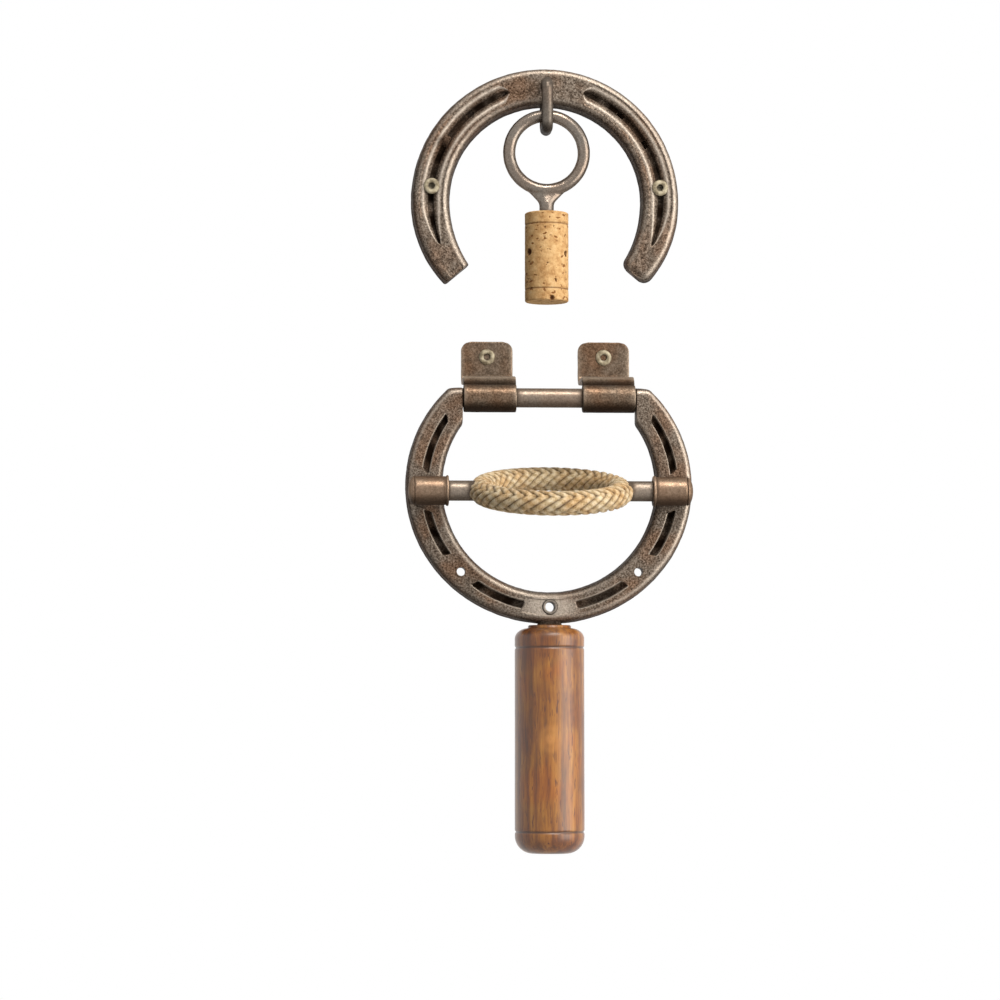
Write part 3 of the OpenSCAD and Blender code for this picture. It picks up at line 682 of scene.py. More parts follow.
# Torn pores as (degrees round the cork, height, size, depth) rows.
PITS = [(211, 20.4, 1.6, 1.8), (329, 19.8, 1.4, 1.7), (262, 30.5, 0.4, 0.5),
        (285, 30.8, 0.35, 0.5), (276, 27.0, 0.35, 0.4), (259, 26.4, 0.35, 0.4),
        (268, 15.4, 0.45, 0.5), (291, 8.4, 0.55, 0.6), (250, 22.0, 0.3, 0.4),
        (281, 0.9, 1.1, 1.2), (40, 20, 1.2, 0.9), (120, 11, 1.0, 0.8),
        (170, 26, 1.1, 1.0), (330, 12, 0.5, 0.6), (200, 8, 0.7, 0.7)]


def arc(x, y, r, start_deg, end_deg, count):
    """Points on an arc about (x, y)."""
    return [(x + r * math.cos(a), y + r * math.sin(a))
            for a in np.radians(np.linspace(start_deg, end_deg, count))]


profile = [(0.02, 0.0)] + [(CORK_R * s, 0.0) for s in CORK_END_SHARES]
profile += arc(CORK_R - CORK_EDGE, CORK_EDGE, CORK_EDGE, -90, 0, 6)
profile += [(CORK_R, z) for z in np.arange(0.95, CORK_L - 0.8, 0.22)]
profile += arc(CORK_R - CORK_EDGE, CORK_L - CORK_EDGE, CORK_EDGE, 0, 90, 6)
profile += [(CORK_R * s, CORK_L) for s in CORK_END_SHARES[::-1]] + [(0.02, CORK_L)]


def pit_depth(angle_deg, z):
    """Depth of the torn pores at an angle round the cork and a height up it."""
    deepest = 0.0
    for at, height, size, depth in PITS:
        off = (angle_deg - at + 180) % 360 - 180
        away = math.hypot(math.radians(off) * CORK_R, z - height) / size
        deepest = max(deepest, depth * max(0.0, 1 - away * away))
    return deepest


cork_rings, cork_dirt = [], []
for r, z in profile:
    line = max(band(z, at, CORK_LINE_W) for at in CORK_LINES)
    line = line if r > CORK_R * 0.9 else 0.0
    ring = []
    for k in range(CORK_SIDES):
        a = 360 * k / CORK_SIDES
        x, y, _ = Vector((math.cos(math.radians(a)), math.sin(math.radians(a)), 0))
        crumb = noise.noise(Vector((x * r, y * r, z)) / CORK_CRUMB_MM)
        pit = pit_depth(a, z) if r > CORK_R * 0.93 else 0.0
        left = max(0.01, r - (CORK_CRUMB * (0.5 + 0.5 * crumb) + pit + CORK_LINE_D * line))
        ring.append((x * left, EYE_Y + y * left, cork_low[2] + z))
        cork_dirt.append(min(1.0, 0.8 * line + min(1.0, pit / 0.4)))
    cork_rings.append(ring)
make_piece("cork_bark", *skin(cork_rings), bark, "stopper", "cork", {"dirt": cork_dirt}, ("cork",))

# ---- Hinge brackets ----
# Two straps of 2 mm steel: a plate for one screw, a bend out from the wall, a short neck down,
# and a knuckle rolled round the hinge rod. Edges are rounded by tumbling.
# Rolled steel takes the bluing more evenly than forged bar, and browner.
strap_steel = steel("rolled_strap_steel", "#b5a491", "#6c5a4a", "#1d140d", 0.6, 0.34, 0.6)
hinge = next(j for j in frame["joints"] if j["name"] == "shoe_swing")
HINGE_Y, HINGE_Z = hinge["pos_m"][1] / MM, hinge["pos_m"][2] / MM
STRAP_T, STRAP_BEND_R, STRAP_EDGE_R, PLATE_CORNER_R = 2.0, 3.6, 0.55, 4.0
KNUCKLE_R, KNUCKLE_OUT_R, KNUCKLE_SWEEP = 5.07, 6.07, 318
NECK_L, NECK_END = 3.3, 3.2
# Painted shade lies in the crease above the knuckle and under it, and a painted highlight on the
# shelf's bend.
CREASE_UP, CREASE_HALF, UNDER_DOWN, UNDER_RUN, BEND_UP, BEND_HALF = 6.0, 1.9, 0.8, 4, 0.3, 0.7
SHELF_Z = HINGE_Z + KNUCKLE_OUT_R + NECK_L - STRAP_T / 2
NECK_Y = HINGE_Y + KNUCKLE_OUT_R / 4 - STRAP_T / 2


def strap_line(top_z):
    """Middle line of the strap, from the plate's top down to the end of the knuckle."""
    corners = [(0, -STRAP_T / 2, top_z), (0, -STRAP_T / 2, SHELF_Z), (0, NECK_Y, SHELF_Z),
               (0, NECK_Y, HINGE_Z + NECK_END)]
    axis = Vector((0, HINGE_Y, HINGE_Z))
    path = [p for p in rounded_path(corners, STRAP_BEND_R) if (p - axis).length > KNUCKLE_R + 0.3]
    start = math.atan2(NECK_END, NECK_Y - HINGE_Y)
    turns = np.linspace(start, start - math.radians(KNUCKLE_SWEEP), 90)
    return path + [Vector((0, HINGE_Y + KNUCKLE_R * math.cos(a), HINGE_Z + KNUCKLE_R * math.sin(a)))
                   for a in turns]


def strap_section(width, thick, r):
    """Section of the strap as (across, out) points, with rounded edges, all half sizes."""
    half = []
    for side, start in ((1, 0), (-1, 90)):
        half += arc(side * (width - r), thick - r, r, start, start + 90, 5)
        if side > 0:
            half += [(x, thick) for x in np.linspace(width - r, r - width, 16)[1:-1]]
    return half + [(-u, -w) for u, w in half]


def bracket(node):
    low, high = node_box(node)
    middle = (low[0] + high[0]) / 2
    half_w = (high[0] - low[0]) / 2
    line = strap_line(high[2])
    run = 0.0
    rings = []
    for i, p in enumerate(line):
        behind = line[max(i - 1, 0)]
        along = (line[min(i + 1, len(line) - 1)] - behind).normalized()
        out = Vector((1, 0, 0)).cross(along)
        run += (p - behind).length
        short = max(0, PLATE_CORNER_R - run)
        width = half_w - PLATE_CORNER_R + math.sqrt(PLATE_CORNER_R ** 2 - short ** 2)
        rings.append([tuple(Vector((middle + u, 0, 0)) + p + out * w)
                      for u, w in strap_section(width, STRAP_T / 2, STRAP_EDGE_R)])
    points, faces = skin(rings)
    wear, dirt = [], []
    for x, y, z in points:
        edge = half_w - abs(x - middle)
        front = y < HINGE_Y + 8
        # Painted shade in the crease and under the knuckle, and a painted highlight along the bend;
        # the rubbed edges are real wear.
        crease_shade = band(z, HINGE_Z + CREASE_UP, CREASE_HALF) if front else 0.0
        under_shade = float(smooth_step((HINGE_Z - UNDER_DOWN - z) / UNDER_RUN)) if front else 0.0
        bend = band(z - SHELF_Z, BEND_UP, BEND_HALF) if front else 0.0
        wear.append(min(1.0, 0.9 * near(edge, 0.6) + 0.7 * bend))
        dirt.append(0.85 * crease_shade + 0.9 * under_shade)
    made = make_piece(node + "_strap", points, faces, strap_steel, "wall_set", "forged_steel",
                      {"wear": wear, "dirt": dirt}, (node,))
    hammer(made, 0.1, 3.0, lambda p: p[1] > -0.1)


bracket("bracket_left")
bracket("bracket_right")

# ---- Hinge rod ----
# An 8 mm round rod, the axle of the lower shoe: it turns in both knuckles and is welded between
# the shoe's heels. Drawn steel with the bluing rubbed down to grey along its middle, so it is
# smoother and more metallic than the forged pieces.
rod_metal = steel("rubbed_rod_steel", "#a99c8e", "#6e6056", "#1d140d", 0.75, 0.36, 0.45, 5.0)


def turned_piece(name, profile, centre, axis, material, body, slot, node, wear, dirt_and_shade_rule):
    made = make_piece(name, *skin(turned(profile, 64, centre, axis)), material, body, slot, None,
                      (node,))
    mark(made, wear=lambda p: wear(p) if callable(wear) else wear, dirt=dirt_and_shade_rule)
    return made


def spread(profile, step):
    """Adds points along a profile so that wear and marks have room to vary."""
    full = [profile[0]]
    for a, b in zip(profile, profile[1:]):
        parts = max(1, int(math.hypot(b[0] - a[0], b[1] - a[1]) / step))
        full += [(a[0] + (b[0] - a[0]) * k / parts, a[1] + (b[1] - a[1]) * k / parts)
                 for k in range(1, parts + 1)]
    return full


def underside_shade(z, axis_z, run):
    """Painted shade on the lower side of a round piece, coming on over a run below its axis."""
    return float(smooth_step((axis_z - 0.5 - z) / run))


rod_low, rod_high = node_box("hinge_rod")
ROD_R = (rod_high[2] - rod_low[2]) / 2
ROD_L = rod_high[0] - rod_low[0]
knuckle_in = node_box("bracket_right")[0][0]
profile = spread([(0.05, 0), (ROD_R, 0), (ROD_R, ROD_L), (0.05, ROD_L)], 0.8)
# The rod is darker where it goes into the knuckles and has painted shade on its lower side.
rod = turned_piece("hinge_rod_drawn", profile, (rod_low[0], HINGE_Y, HINGE_Z), (1, 0, 0), rod_metal,
                   "swing_shoe", "forged_steel", "hinge_rod", 0.45,
                   lambda p: max(0.9 * near(knuckle_in - abs(p[0]), 0.9),
                                 0.5 * underside_shade(p[2], HINGE_Z, 3.5)))
hammer(rod, 0.05, 4.0)

# ---- Lower shoe ----
# The second horseshoe, toe down, from the same bar: three short nail slots down each arm, a plain
# hole between the lower two, and a riveted eyelet in the toe. Its heels are cut upright and
# welded to the ends of the hinge rod, so it swings out from the wall.
lower_low, lower_high = node_box("lower_shoe")
WEB_SIDE, WEB_TOE, LUG_DROP = 15.5, 13.2, 0.6
OUT_A, OUT_B = (lower_high[0] - lower_low[0]) / 2, 56.75
IN_A, IN_B = OUT_A - WEB_SIDE, OUT_B - WEB_TOE
MID_A, MID_B = (OUT_A + IN_A) / 2, (OUT_B + IN_B) / 2
LOWER_Z = lower_low[2] + LUG_DROP + OUT_B
LOWER_FACE_Y, LOWER_BACK_Y = lower_low[1], lower_high[1]
HEEL_X, HEEL_TOP, HEEL_SOFT = rod_high[0], lower_high[2], 1.2
HEEL_R = 0.5
SLOT_DEG, SLOT_HALF, SLOT_DEPTH, SLOT_POINT = ((12, 37), (55, 78), (96, 124)), 1.7, 2.6, 0.5
NAIL_DEG, NAIL_R, EYELET_HOLE_R = 45.0, 1.8, 2.9
EYELET_Z = sum(corner[2] for corner in node_box("toe_eyelet")) / 2


def oval(half_w, half_h, s):
    """A side of the lower shoe, levelled off softly at the top of its heels."""
    sweep = 180 - math.degrees(math.asin(HEEL_X / half_w))
    a = math.radians(sweep * s)
    z = LOWER_Z - half_h * math.cos(a)
    over = z - (HEEL_TOP - HEEL_SOFT)
    if over > 0:
        z = HEEL_TOP - HEEL_SOFT + HEEL_SOFT * (1 - math.exp(-over / HEEL_SOFT))
    return half_w * math.sin(a), z


def lower_arc(deg):
    """Distance along the middle of the web from the toe to an angle."""
    steps = np.radians(np.linspace(0, deg, 60))
    xs, zs = MID_A * np.sin(steps), MID_B * np.cos(steps)
    return float(np.sum(np.hypot(np.diff(xs), np.diff(zs))))


def round_cutter(x, z, r, y0, y1):
    """A drill through a shoe from front to back."""
    rings = [[(x + r * math.cos(a), y, z + r * math.sin(a)) for a in circle(40)] for y in (y0, y1)]
    return mesh_object("drill", *skin(rings))


slots = [(lower_arc(start), lower_arc(end), SLOT_HALF, SLOT_DEPTH, SLOT_POINT, SLOT_POINT)
         for start, end in SLOT_DEG]
lower_shoe = shoe("lower_shoe", lambda s: oval(IN_A, IN_B, -s), lambda s: oval(OUT_A, OUT_B, -s),
                  LOWER_BACK_Y, EDGE_R, PUNCHED, slots, (HEEL_R, HEEL_R), forged, "swing_shoe")
nail_x = MID_A * math.sin(math.radians(NAIL_DEG))
nail_z = LOWER_Z - MID_B * math.cos(math.radians(NAIL_DEG))
holes = ((-nail_x, nail_z, NAIL_R), (nail_x, nail_z, NAIL_R), (0, EYELET_Z, EYELET_HOLE_R))
cut_holes(lower_shoe, [round_cutter(*hole, LOWER_FACE_Y - 2, LOWER_BACK_Y + 2) for hole in holes])


def toe_pad(p):
    """Wear on the toe's face, where fingers push the shoe down over the eyelet."""
    if p[1] >= LOWER_FACE_Y + 2:
        return 0.0
    return 0.9 * math.exp(-(math.hypot(p[0] / 11, (p[2] - EYELET_Z) / 5.5)) ** 4)


wear_and_highlight_layer = lower_shoe.data.attributes["wear"].data
kept_wear_and_highlight = np.zeros(len(lower_shoe.data.vertices), np.float32)
wear_and_highlight_layer.foreach_get("value", kept_wear_and_highlight)
wear_and_highlight_layer.foreach_set("value", [max(float(old), toe_pad(v.co / MM))
                                 for old, v in zip(kept_wear_and_highlight, lower_shoe.data.vertices)])

# The lug under the toe is a small forged boss that the handle's tang is screwed into.
LUG_HALF_W, LUG_HALF_D, LUG_L, LUG_TAPER, LUG_SQUARE = 5.0, 2.6, 3.6, 0.18, 0.55


def squared(x):
    """Pushes a circle's sine or cosine out towards a square."""
    return math.copysign(abs(x) ** LUG_SQUARE, x)


lug_rings = []
for share in np.linspace(0, 1, 16):
    flare = 1 - LUG_TAPER * float(smooth_step(share))
    lug_rings.append([(LUG_HALF_W * flare * squared(math.cos(a)),
                       (LOWER_BACK_Y + LOWER_FACE_Y) / 2 + LUG_HALF_D * squared(math.sin(a)),
                       lower_low[2] + share * LUG_L)
                      for a in circle(40)])
# The lug is darkened all over with painted shade, where it sits between the toe and the handle.
make_piece("toe_lug", *skin(lug_rings), forged, "swing_shoe", "forged_steel",
           {"wear": 0.1, "dirt": 0.7})

# ---- Toe eyelet ----
# A tubular rivet of dark steel, set in the toe and rolled over on the front. It takes a hook or
# a nail. The roll is rubbed, with soot in the seam round it and down its bore.
eyelet_low, eyelet_high = node_box("toe_eyelet")
EYELET_R, EYELET_TUBE_R, EYELET_BORE_R = 3.2, 2.86, 1.95
ROLL_R, ROLL_OUT = 0.62, 0.38
EYELET_L = eyelet_high[1] - eyelet_low[1]
eyelet_profile = [(EYELET_BORE_R, EYELET_L), (EYELET_BORE_R, 0.6)]
eyelet_profile += [(EYELET_BORE_R + ROLL_R - ROLL_R * math.cos(t), 0.4 - ROLL_OUT * math.sin(t))
                   for t in np.linspace(0, math.pi * 0.8, 10)]
eyelet_profile += [(EYELET_R, 0.38), (EYELET_TUBE_R, 0.42), (EYELET_TUBE_R, EYELET_L),
                   (EYELET_BORE_R, EYELET_L)]
points, faces = skin(turned(eyelet_profile, 48, (0, eyelet_low[1], EYELET_Z), (0, 1, 0)),
                     capped=False)
eyelet_dirt = [0.75 if math.hypot(p[0], p[2] - EYELET_Z) > EYELET_HOLE_R
               or p[1] > eyelet_low[1] + 0.5 else 0.1 for p in points]
make_piece("toe_eyelet_rolled", points, faces, dark, "swing_shoe", "dark_steel",
           {"wear": 0.7, "dirt": eyelet_dirt}, ("toe_eyelet",))

# ---- Pivot sleeves and their caps ----
# Short tubes welded across the shoe's arms, with a rolled rim on the inner end and a domed plug
# pressed into the outer end. The torch has turned the steel copper-brown.
copper = steel("copper_brown_steel", "#ab937d", "#5e493a", "#1c110a", 0.7, 0.34, 0.5, 4.0)
swivel = next(j for j in frame["joints"] if j["name"] == "ring_swivel")
PIVOT_Y, PIVOT_Z = swivel["pos_m"][1] / MM, swivel["pos_m"][2] / MM
STUB_R = 4.15
SLEEVE_R, SLEEVE_RIM_R, RIM_ROLL_R = 5.92, 6.37, 0.6
SLEEVE_BORE_R = STUB_R + 0.1
PLUG_DEPTH = 1.5


def sleeve(side, name):
    low, high = node_box("pivot_sleeve_" + name)
    start, end = (abs(high[0]), abs(low[0])) if side < 0 else (low[0], high[0])
    length = end - start
    seat, axis = (side * start, PIVOT_Y, PIVOT_Z), (side, 0, 0)
    profile = [(SLEEVE_BORE_R, length), (SLEEVE_BORE_R, 0.35), (STUB_R + 0.45, 0)]
    profile += arc(SLEEVE_RIM_R - RIM_ROLL_R, RIM_ROLL_R, RIM_ROLL_R, -90, 90, 12)
    profile += spread([(SLEEVE_R, 1.35), (SLEEVE_R, length - 0.3)], 0.6)
    profile += [(SLEEVE_R - 0.3, length), (SLEEVE_BORE_R, length)]
    # The tube is darker just behind its rim and has painted shade on its lower side.
    tube = turned_piece(f"pivot_sleeve_{name}_tube", profile, seat, axis, copper, "swing_shoe",
                        "sleeve_steel", "pivot_sleeve_" + name,
                        lambda p: 1.0 if abs(p[0]) < start + 1.3 else 0.45,
                        lambda p: max(0.9 * near(abs(abs(p[0]) - start - 1.6), 0.35),
                                      0.8 * underside_shade(p[2], PIVOT_Z, 5)))
    hammer(tube, 0.08, 3.0)
    tip = max(abs(corner[0]) for corner in node_box("sleeve_cap_" + name))
    dome = [(SLEEVE_R * math.sin(t), length + (tip - end) * math.cos(t))
            for t in np.linspace(math.pi / 2, 0.02, 18)]
    profile = [(0.05, length - PLUG_DEPTH), (STUB_R, length - PLUG_DEPTH), (STUB_R, length),
               (SLEEVE_R - 0.35, length), (SLEEVE_R - 0.05, length + 0.25)] + dome[2:]
    # The cap is darker at its joint with the tube and has painted shade on its lower side.
    turned_piece(f"sleeve_cap_{name}_dome", profile, seat, axis, copper, "swing_shoe",
                 "sleeve_steel", "sleeve_cap_" + name, 0.6,
                 lambda p: max(0.85 * near(abs(abs(p[0]) - end), 0.3),
                               0.8 * underside_shade(p[2], PIVOT_Z, 5)))


sleeve(-1, "left")
sleeve(1, "right")

# A run of weld metal seats each sleeve on the shoe's face.
WELD_OFF, WELD_R, WELD_FROM, WELD_TO = 4.7, 0.95, 44.6, 57.6
for side, name in ((-1, "left"), (1, "right")):
    for edge, place in ((-1, "lower"), (1, "upper")):
        bead_path = [Vector((side * x, LOWER_FACE_Y - 0.2,
                             PIVOT_Z + edge * (WELD_OFF + 0.25 * math.sin(x * 2.3))))
                     for x in np.arange(WELD_FROM, WELD_TO, 0.5)]
        rings = tube_rings(
            bead_path, lambda s: WELD_R * math.sin(math.pi * (0.08 + 0.84 * s)) ** 0.4, 14)
        bead = make_piece(f"sleeve_weld_{name}_{place}", *skin(rings), copper, "swing_shoe",
                          "sleeve_steel", {"wear": 0.1, "dirt": 0.45})
        hammer(bead, 0.25, 1.2)

# ---- Ring hoop and stub shafts ----
# A hoop of 5 mm steel with a stub shaft welded to each side; the stubs turn in the sleeves.
# Only the stubs show, between the rope and the sleeves, sooty where they go in.
hoop = frame["nodes"]["ring_core"]
hoop.data.materials.clear()
hoop.data.materials.append(dark)
core_low, core_high = node_box("ring_core")
HOOP_BAR_R = 2.5
RING_R = (core_high[0] - core_low[0]) / 2 - HOOP_BAR_R
RING_TILT = math.asin((core_high[2] - core_low[2] - 2 * HOOP_BAR_R) / 2 / RING_R)
ROPE_EDGE_X = 33.5


def stub(side, name):
    out_x = max(abs(corner[0]) for corner in node_box("stub_" + name))
    sleeve_in = min(abs(corner[0]) for corner in node_box("pivot_sleeve_" + name))
    length = out_x - RING_R
    profile = spread([(0.05, 0), (STUB_R, 0), (STUB_R, length - 0.3), (STUB_R - 0.3, length),
                      (0.05, length)], 0.5)
    # The stub is darker where it goes into the sleeve and the rope, and has painted shade on its
    # lower side.
    turned_piece(f"stub_{name}_turned", profile, (side * RING_R, PIVOT_Y, PIVOT_Z), (side, 0, 0),
                 rod_metal, "rope_ring", "dark_steel", "stub_" + name, 0.6,
                 lambda p: max(0.9 * near(abs(abs(p[0]) - sleeve_in), 0.6)
                               + 0.6 * near(abs(p[0]) - ROPE_EDGE_X, 0.8),
                               0.45 * underside_shade(p[2], PIVOT_Z, 3.5)))


stub(-1, "left")
stub(1, "right")

# ---- Rope covering ----
# Sixteen thick strands of jute plaited over the hoop with long floats, so it reads as chevrons.
# It closes round each stub with nothing but its own strands.
STRANDS, TURNS, SIDES = 8, 5, 14
STEPS = TURNS * 44
STRAND_W, STRAND_H, BED_R, WEAVE = 1.36, 0.98, 3.6, 0.42
STEP_MM = 0.82


def jute():
    made, tree = new_material("braided_jute")
    place = add(tree, "TexCoord", {}, {}).outputs["Object"]
    along = add(tree, "Attribute", {"attribute_name": "along"}, {}).outputs["Fac"]
    around = add(tree, "Attribute", {"attribute_name": "around"}, {}).outputs["Fac"]
    # Fibres are 0.05 mm, drawn as twisted stripes about 0.35 mm apart.
    twist = add(tree, "Math", {"operation": "MULTIPLY_ADD"}, {0: along, 1: 2.4, 2: around})
    stripe = add(tree, "Math", {"operation": "SINE"}, {0: twist.outputs[0]})
    fuzz = add(tree, "TexNoise", {}, {"Vector": place, "Scale": 1 / (0.6 * MM),
                                      "Detail": 4, "Roughness": 0.7})
    shade = add(tree, "TexNoise", {}, {"Vector": place, "Scale": 1 / (7 * MM), "Detail": 2})
    mixed = add(tree, "Math", {"operation": "MULTIPLY_ADD"},
                {0: stripe.outputs[0], 1: 0.1, 2: fuzz.outputs[0]})
    tone = add(tree, "ValToRGB", {"stops": [(0.3, "#a88f68"), (0.43, "#d2bb93"),
                                            (0.56, "#e6d4b0"), (0.72, "#f2e6cb")]},
               {0: mixed.outputs[0]})
    cast = add(tree, "ValToRGB", {"stops": [(0.4, "#ffffff"), (0.65, "#f3dcc0")]},
               {0: shade.outputs[0]})
    dyed = add(tree, "Mix", {"data_type": "RGBA", "blend_type": "MULTIPLY"},
               {0: 0.8, 6: tone.outputs[0], 7: cast.outputs[0]})
    # The dark brown is painted shade on the strands' flanks, under their crossings and on the bed.
    dirt = add(tree, "Attribute", {"attribute_name": "dirt"}, {}).outputs["Fac"]
    deep = add(tree, "Mix", {"data_type": "RGBA"},
               {0: dirt, 6: dyed.outputs[2], 7: linear("#5f4425")})
    bump = add(tree, "Bump", {}, {"Strength": 0.5, "Distance": 0.15 * MM,
                                  "Height": mixed.outputs[0]})
    finish_material(tree, {"Base Color": deep.outputs[2], "Roughness": 0.9,
                           "Specular IOR Level": 0.2, "Sheen Weight": 0.15,
                           "Normal": bump.outputs[0]})
    return made


rope_fibre = jute()
ring_across = Vector((1, 0, 0))
ring_front = Vector((0, -math.cos(RING_TILT), -math.sin(RING_TILT)))
ring_up = Vector((0, -math.sin(RING_TILT), math.cos(RING_TILT)))
ring_centre = Vector((0, PIVOT_Y, PIVOT_Z))


def on_torus(phi, theta, r):
    out = ring_across * math.cos(phi) + ring_front * math.sin(phi)
    return ring_centre + out * (RING_R + r * math.cos(theta)) + ring_up * (r * math.sin(theta))


def strand_rings(strand, way):
    """Rings of one strand, and how far it lies over (1) or under (-1) the others at each."""
    path, lifts, outs = [], [], []
    for i in range(STEPS):
        phi = 2 * math.pi * i / STEPS
        theta = 2 * math.pi * strand / STRANDS + way * TURNS * phi
        wander = Vector((3 * math.cos(phi), 3 * math.sin(phi), strand * 2.3 + way))
        theta += 0.1 * noise.noise(wander)
        lift = -way * max(-1, min(1, 1.7 * math.cos(2 * theta)))
        r = BED_R + WEAVE * lift
        r += 0.07 * noise.noise(Vector((i * 0.21, strand * 3.1, way * 7.0)))
        path.append(on_torus(phi, theta, r))
        outs.append((on_torus(phi, theta, r + 1) - path[-1]).normalized())
        lifts.append(lift)
    rings = []
    for i, (p, out) in enumerate(zip(path, outs)):
        along = (path[(i + 1) % STEPS] - path[i - 1]).normalized()
        side = along.cross(out).normalized()
        plump = 1 + 0.1 * noise.noise(Vector((i * 0.13, strand * 1.7, way * 3.0)))
        rings.append([tuple(p + side * STRAND_W * plump * math.cos(a)
                            + out * STRAND_H * math.sin(a)) for a in circle(SIDES)])
    return rings, lifts


braid_points, braid_faces = [], []
braid_marks = {"along": [], "around": [], "dirt": []}
for way in (1, -1):
    for strand in range(STRANDS):
        rings, lifts = strand_rings(strand, way)
        points, faces = skin(rings, loop=True)
        first = len(braid_points)
        braid_points += list(points)
        braid_faces += [tuple(first + k for k in f) for f in faces]
        for i, lift in enumerate(lifts):
            for a in circle(SIDES):
                braid_marks["along"].append(i * STEP_MM)
                braid_marks["around"].append(a)
                # Painted shade: darker on the flanks of each strand and where it passes under the
                # others.
                braid_marks["dirt"].append(min(1, 0.55 * max(0.0, -lift) + 0.65 * math.cos(a) ** 2))
make_piece("rope_braid", braid_points, braid_faces, rope_fibre, "rope_ring", "jute_rope",
           braid_marks, ("rope_wrap",))

# Under the strands lies a round bed of the same jute, coloured dark as painted shade in the gaps
# between them.
bed_path = [on_torus(phi, 0, 0) for phi in circle(120)]
bed_rings = tube_rings(bed_path, lambda s: BED_R + 0.15, 20, loop=True)
make_piece("rope_bed", *skin(bed_rings, loop=True), rope_fibre, "rope_ring", "jute_rope",
           {"dirt": 0.85})

# ---- Tang ----
# The 5 mm rod that joins the handle to the toe. Nothing of it shows: it is screwed into the lug
# and glued into the wood.
tang = frame["nodes"]["handle_tang"]
tang.data.materials.clear()
tang.data.materials.append(dark)

# ---- Handle ----
# A grip turned from a close brown hardwood, sanded and varnished, with a line burnt in near each
# end. The grain runs along it with short dark flecks, and a pale knot shows half way down in front.


def varnished_wood():
    made, tree = new_material("varnished_hardwood")
    place = add(tree, "TexCoord", {}, {}).outputs["Object"]
    bend = add(tree, "TexNoise", {}, {"Vector": place, "Scale": 1 / (22 * MM), "Detail": 2})
    bent = add(tree, "Mix", {"data_type": "VECTOR"}, {0: 0.003, 4: place, 5: bend.outputs["Color"]})
    # Growth bands are 2 to 4 mm apart, pores 0.2 mm wide and 3 to 6 mm long.
    long_grain = add(tree, "Mapping", {}, {"Vector": bent.outputs[1], "Scale": (1, 1, 0.06)})
    bands = add(tree, "TexNoise", {}, {"Vector": long_grain.outputs[0], "Scale": 1 / (2.8 * MM),
                                       "Detail": 5, "Roughness": 0.65, "Distortion": 0.15})
    tone = add(tree, "ValToRGB", {"stops": [(0.3, "#5c360b"), (0.44, "#7f4c15"),
                                            (0.56, "#9f6826"), (0.72, "#bd8840")]},
               {0: bands.outputs[0]})
    pore_map = add(tree, "Mapping", {}, {"Vector": bent.outputs[1], "Scale": (1, 1, 0.13)})
    pores = add(tree, "TexNoise", {}, {"Vector": pore_map.outputs[0], "Scale": 1 / (0.75 * MM),
                                       "Detail": 2})
    pore = add(tree, "ValToRGB", {"stops": [(0.6, "#000000"), (0.7, "#ffffff")]},
               {0: pores.outputs[0]})
    pored = add(tree, "Mix", {"data_type": "RGBA"},
                {0: pore.outputs[0], 6: tone.outputs[0], 7: linear("#5c3116")})
    fleck_map = add(tree, "Mapping", {}, {"Vector": place, "Scale": (1, 1, 0.16)})
    flecks = add(tree, "TexNoise", {}, {"Vector": fleck_map.outputs[0], "Scale": 1 / (1.5 * MM),
                                        "Detail": 1})
    fleck = add(tree, "ValToRGB", {"stops": [(0.63, "#000000"), (0.75, "#b0b0b0")]},
                {0: flecks.outputs[0]})
    flecked = add(tree, "Mix", {"data_type": "RGBA"},
                  {0: fleck.outputs[0], 6: pored.outputs[2], 7: linear("#4a2711")})
    # The stain took unevenly, in patches about 16 mm across.
    blotch = add(tree, "TexNoise", {}, {"Vector": place, "Scale": 1 / (16 * MM), "Detail": 2})
    cast = add(tree, "ValToRGB",
               {"stops": [(0.36, "#c9a98c"), (0.52, "#ffffff"), (0.68, "#ffe2b4")]},
               {0: blotch.outputs[0]})
    stained = add(tree, "Mix", {"data_type": "RGBA", "blend_type": "MULTIPLY"},
                  {0: 0.75, 6: flecked.outputs[2], 7: cast.outputs[0]})
    knot = add(tree, "Attribute", {"attribute_name": "wear"}, {}).outputs["Fac"]
    knotted = add(tree, "Mix", {"data_type": "RGBA"},
                  {0: knot, 6: stained.outputs[2], 7: linear("#d99a54")})
    dirt = add(tree, "Attribute", {"attribute_name": "dirt"}, {}).outputs["Fac"]
    burnt = add(tree, "Mix", {"data_type": "RGBA"},
                {0: dirt, 6: knotted.outputs[2], 7: linear("#3a1d0c")})
    bump = add(tree, "Bump", {}, {"Strength": 0.25, "Distance": 0.15 * MM,
                                  "Height": bands.outputs[0]})
    # The varnish is a thick coat, sanded so that it shines softly.
    finish_material(tree, {"Base Color": burnt.outputs[2], "Roughness": 0.5,
                           "Specular IOR Level": 0.25, "Coat Weight": 1.0, "Coat Roughness": 0.36,
                           "Coat IOR": 1.55, "Normal": bump.outputs[0]})
    return made


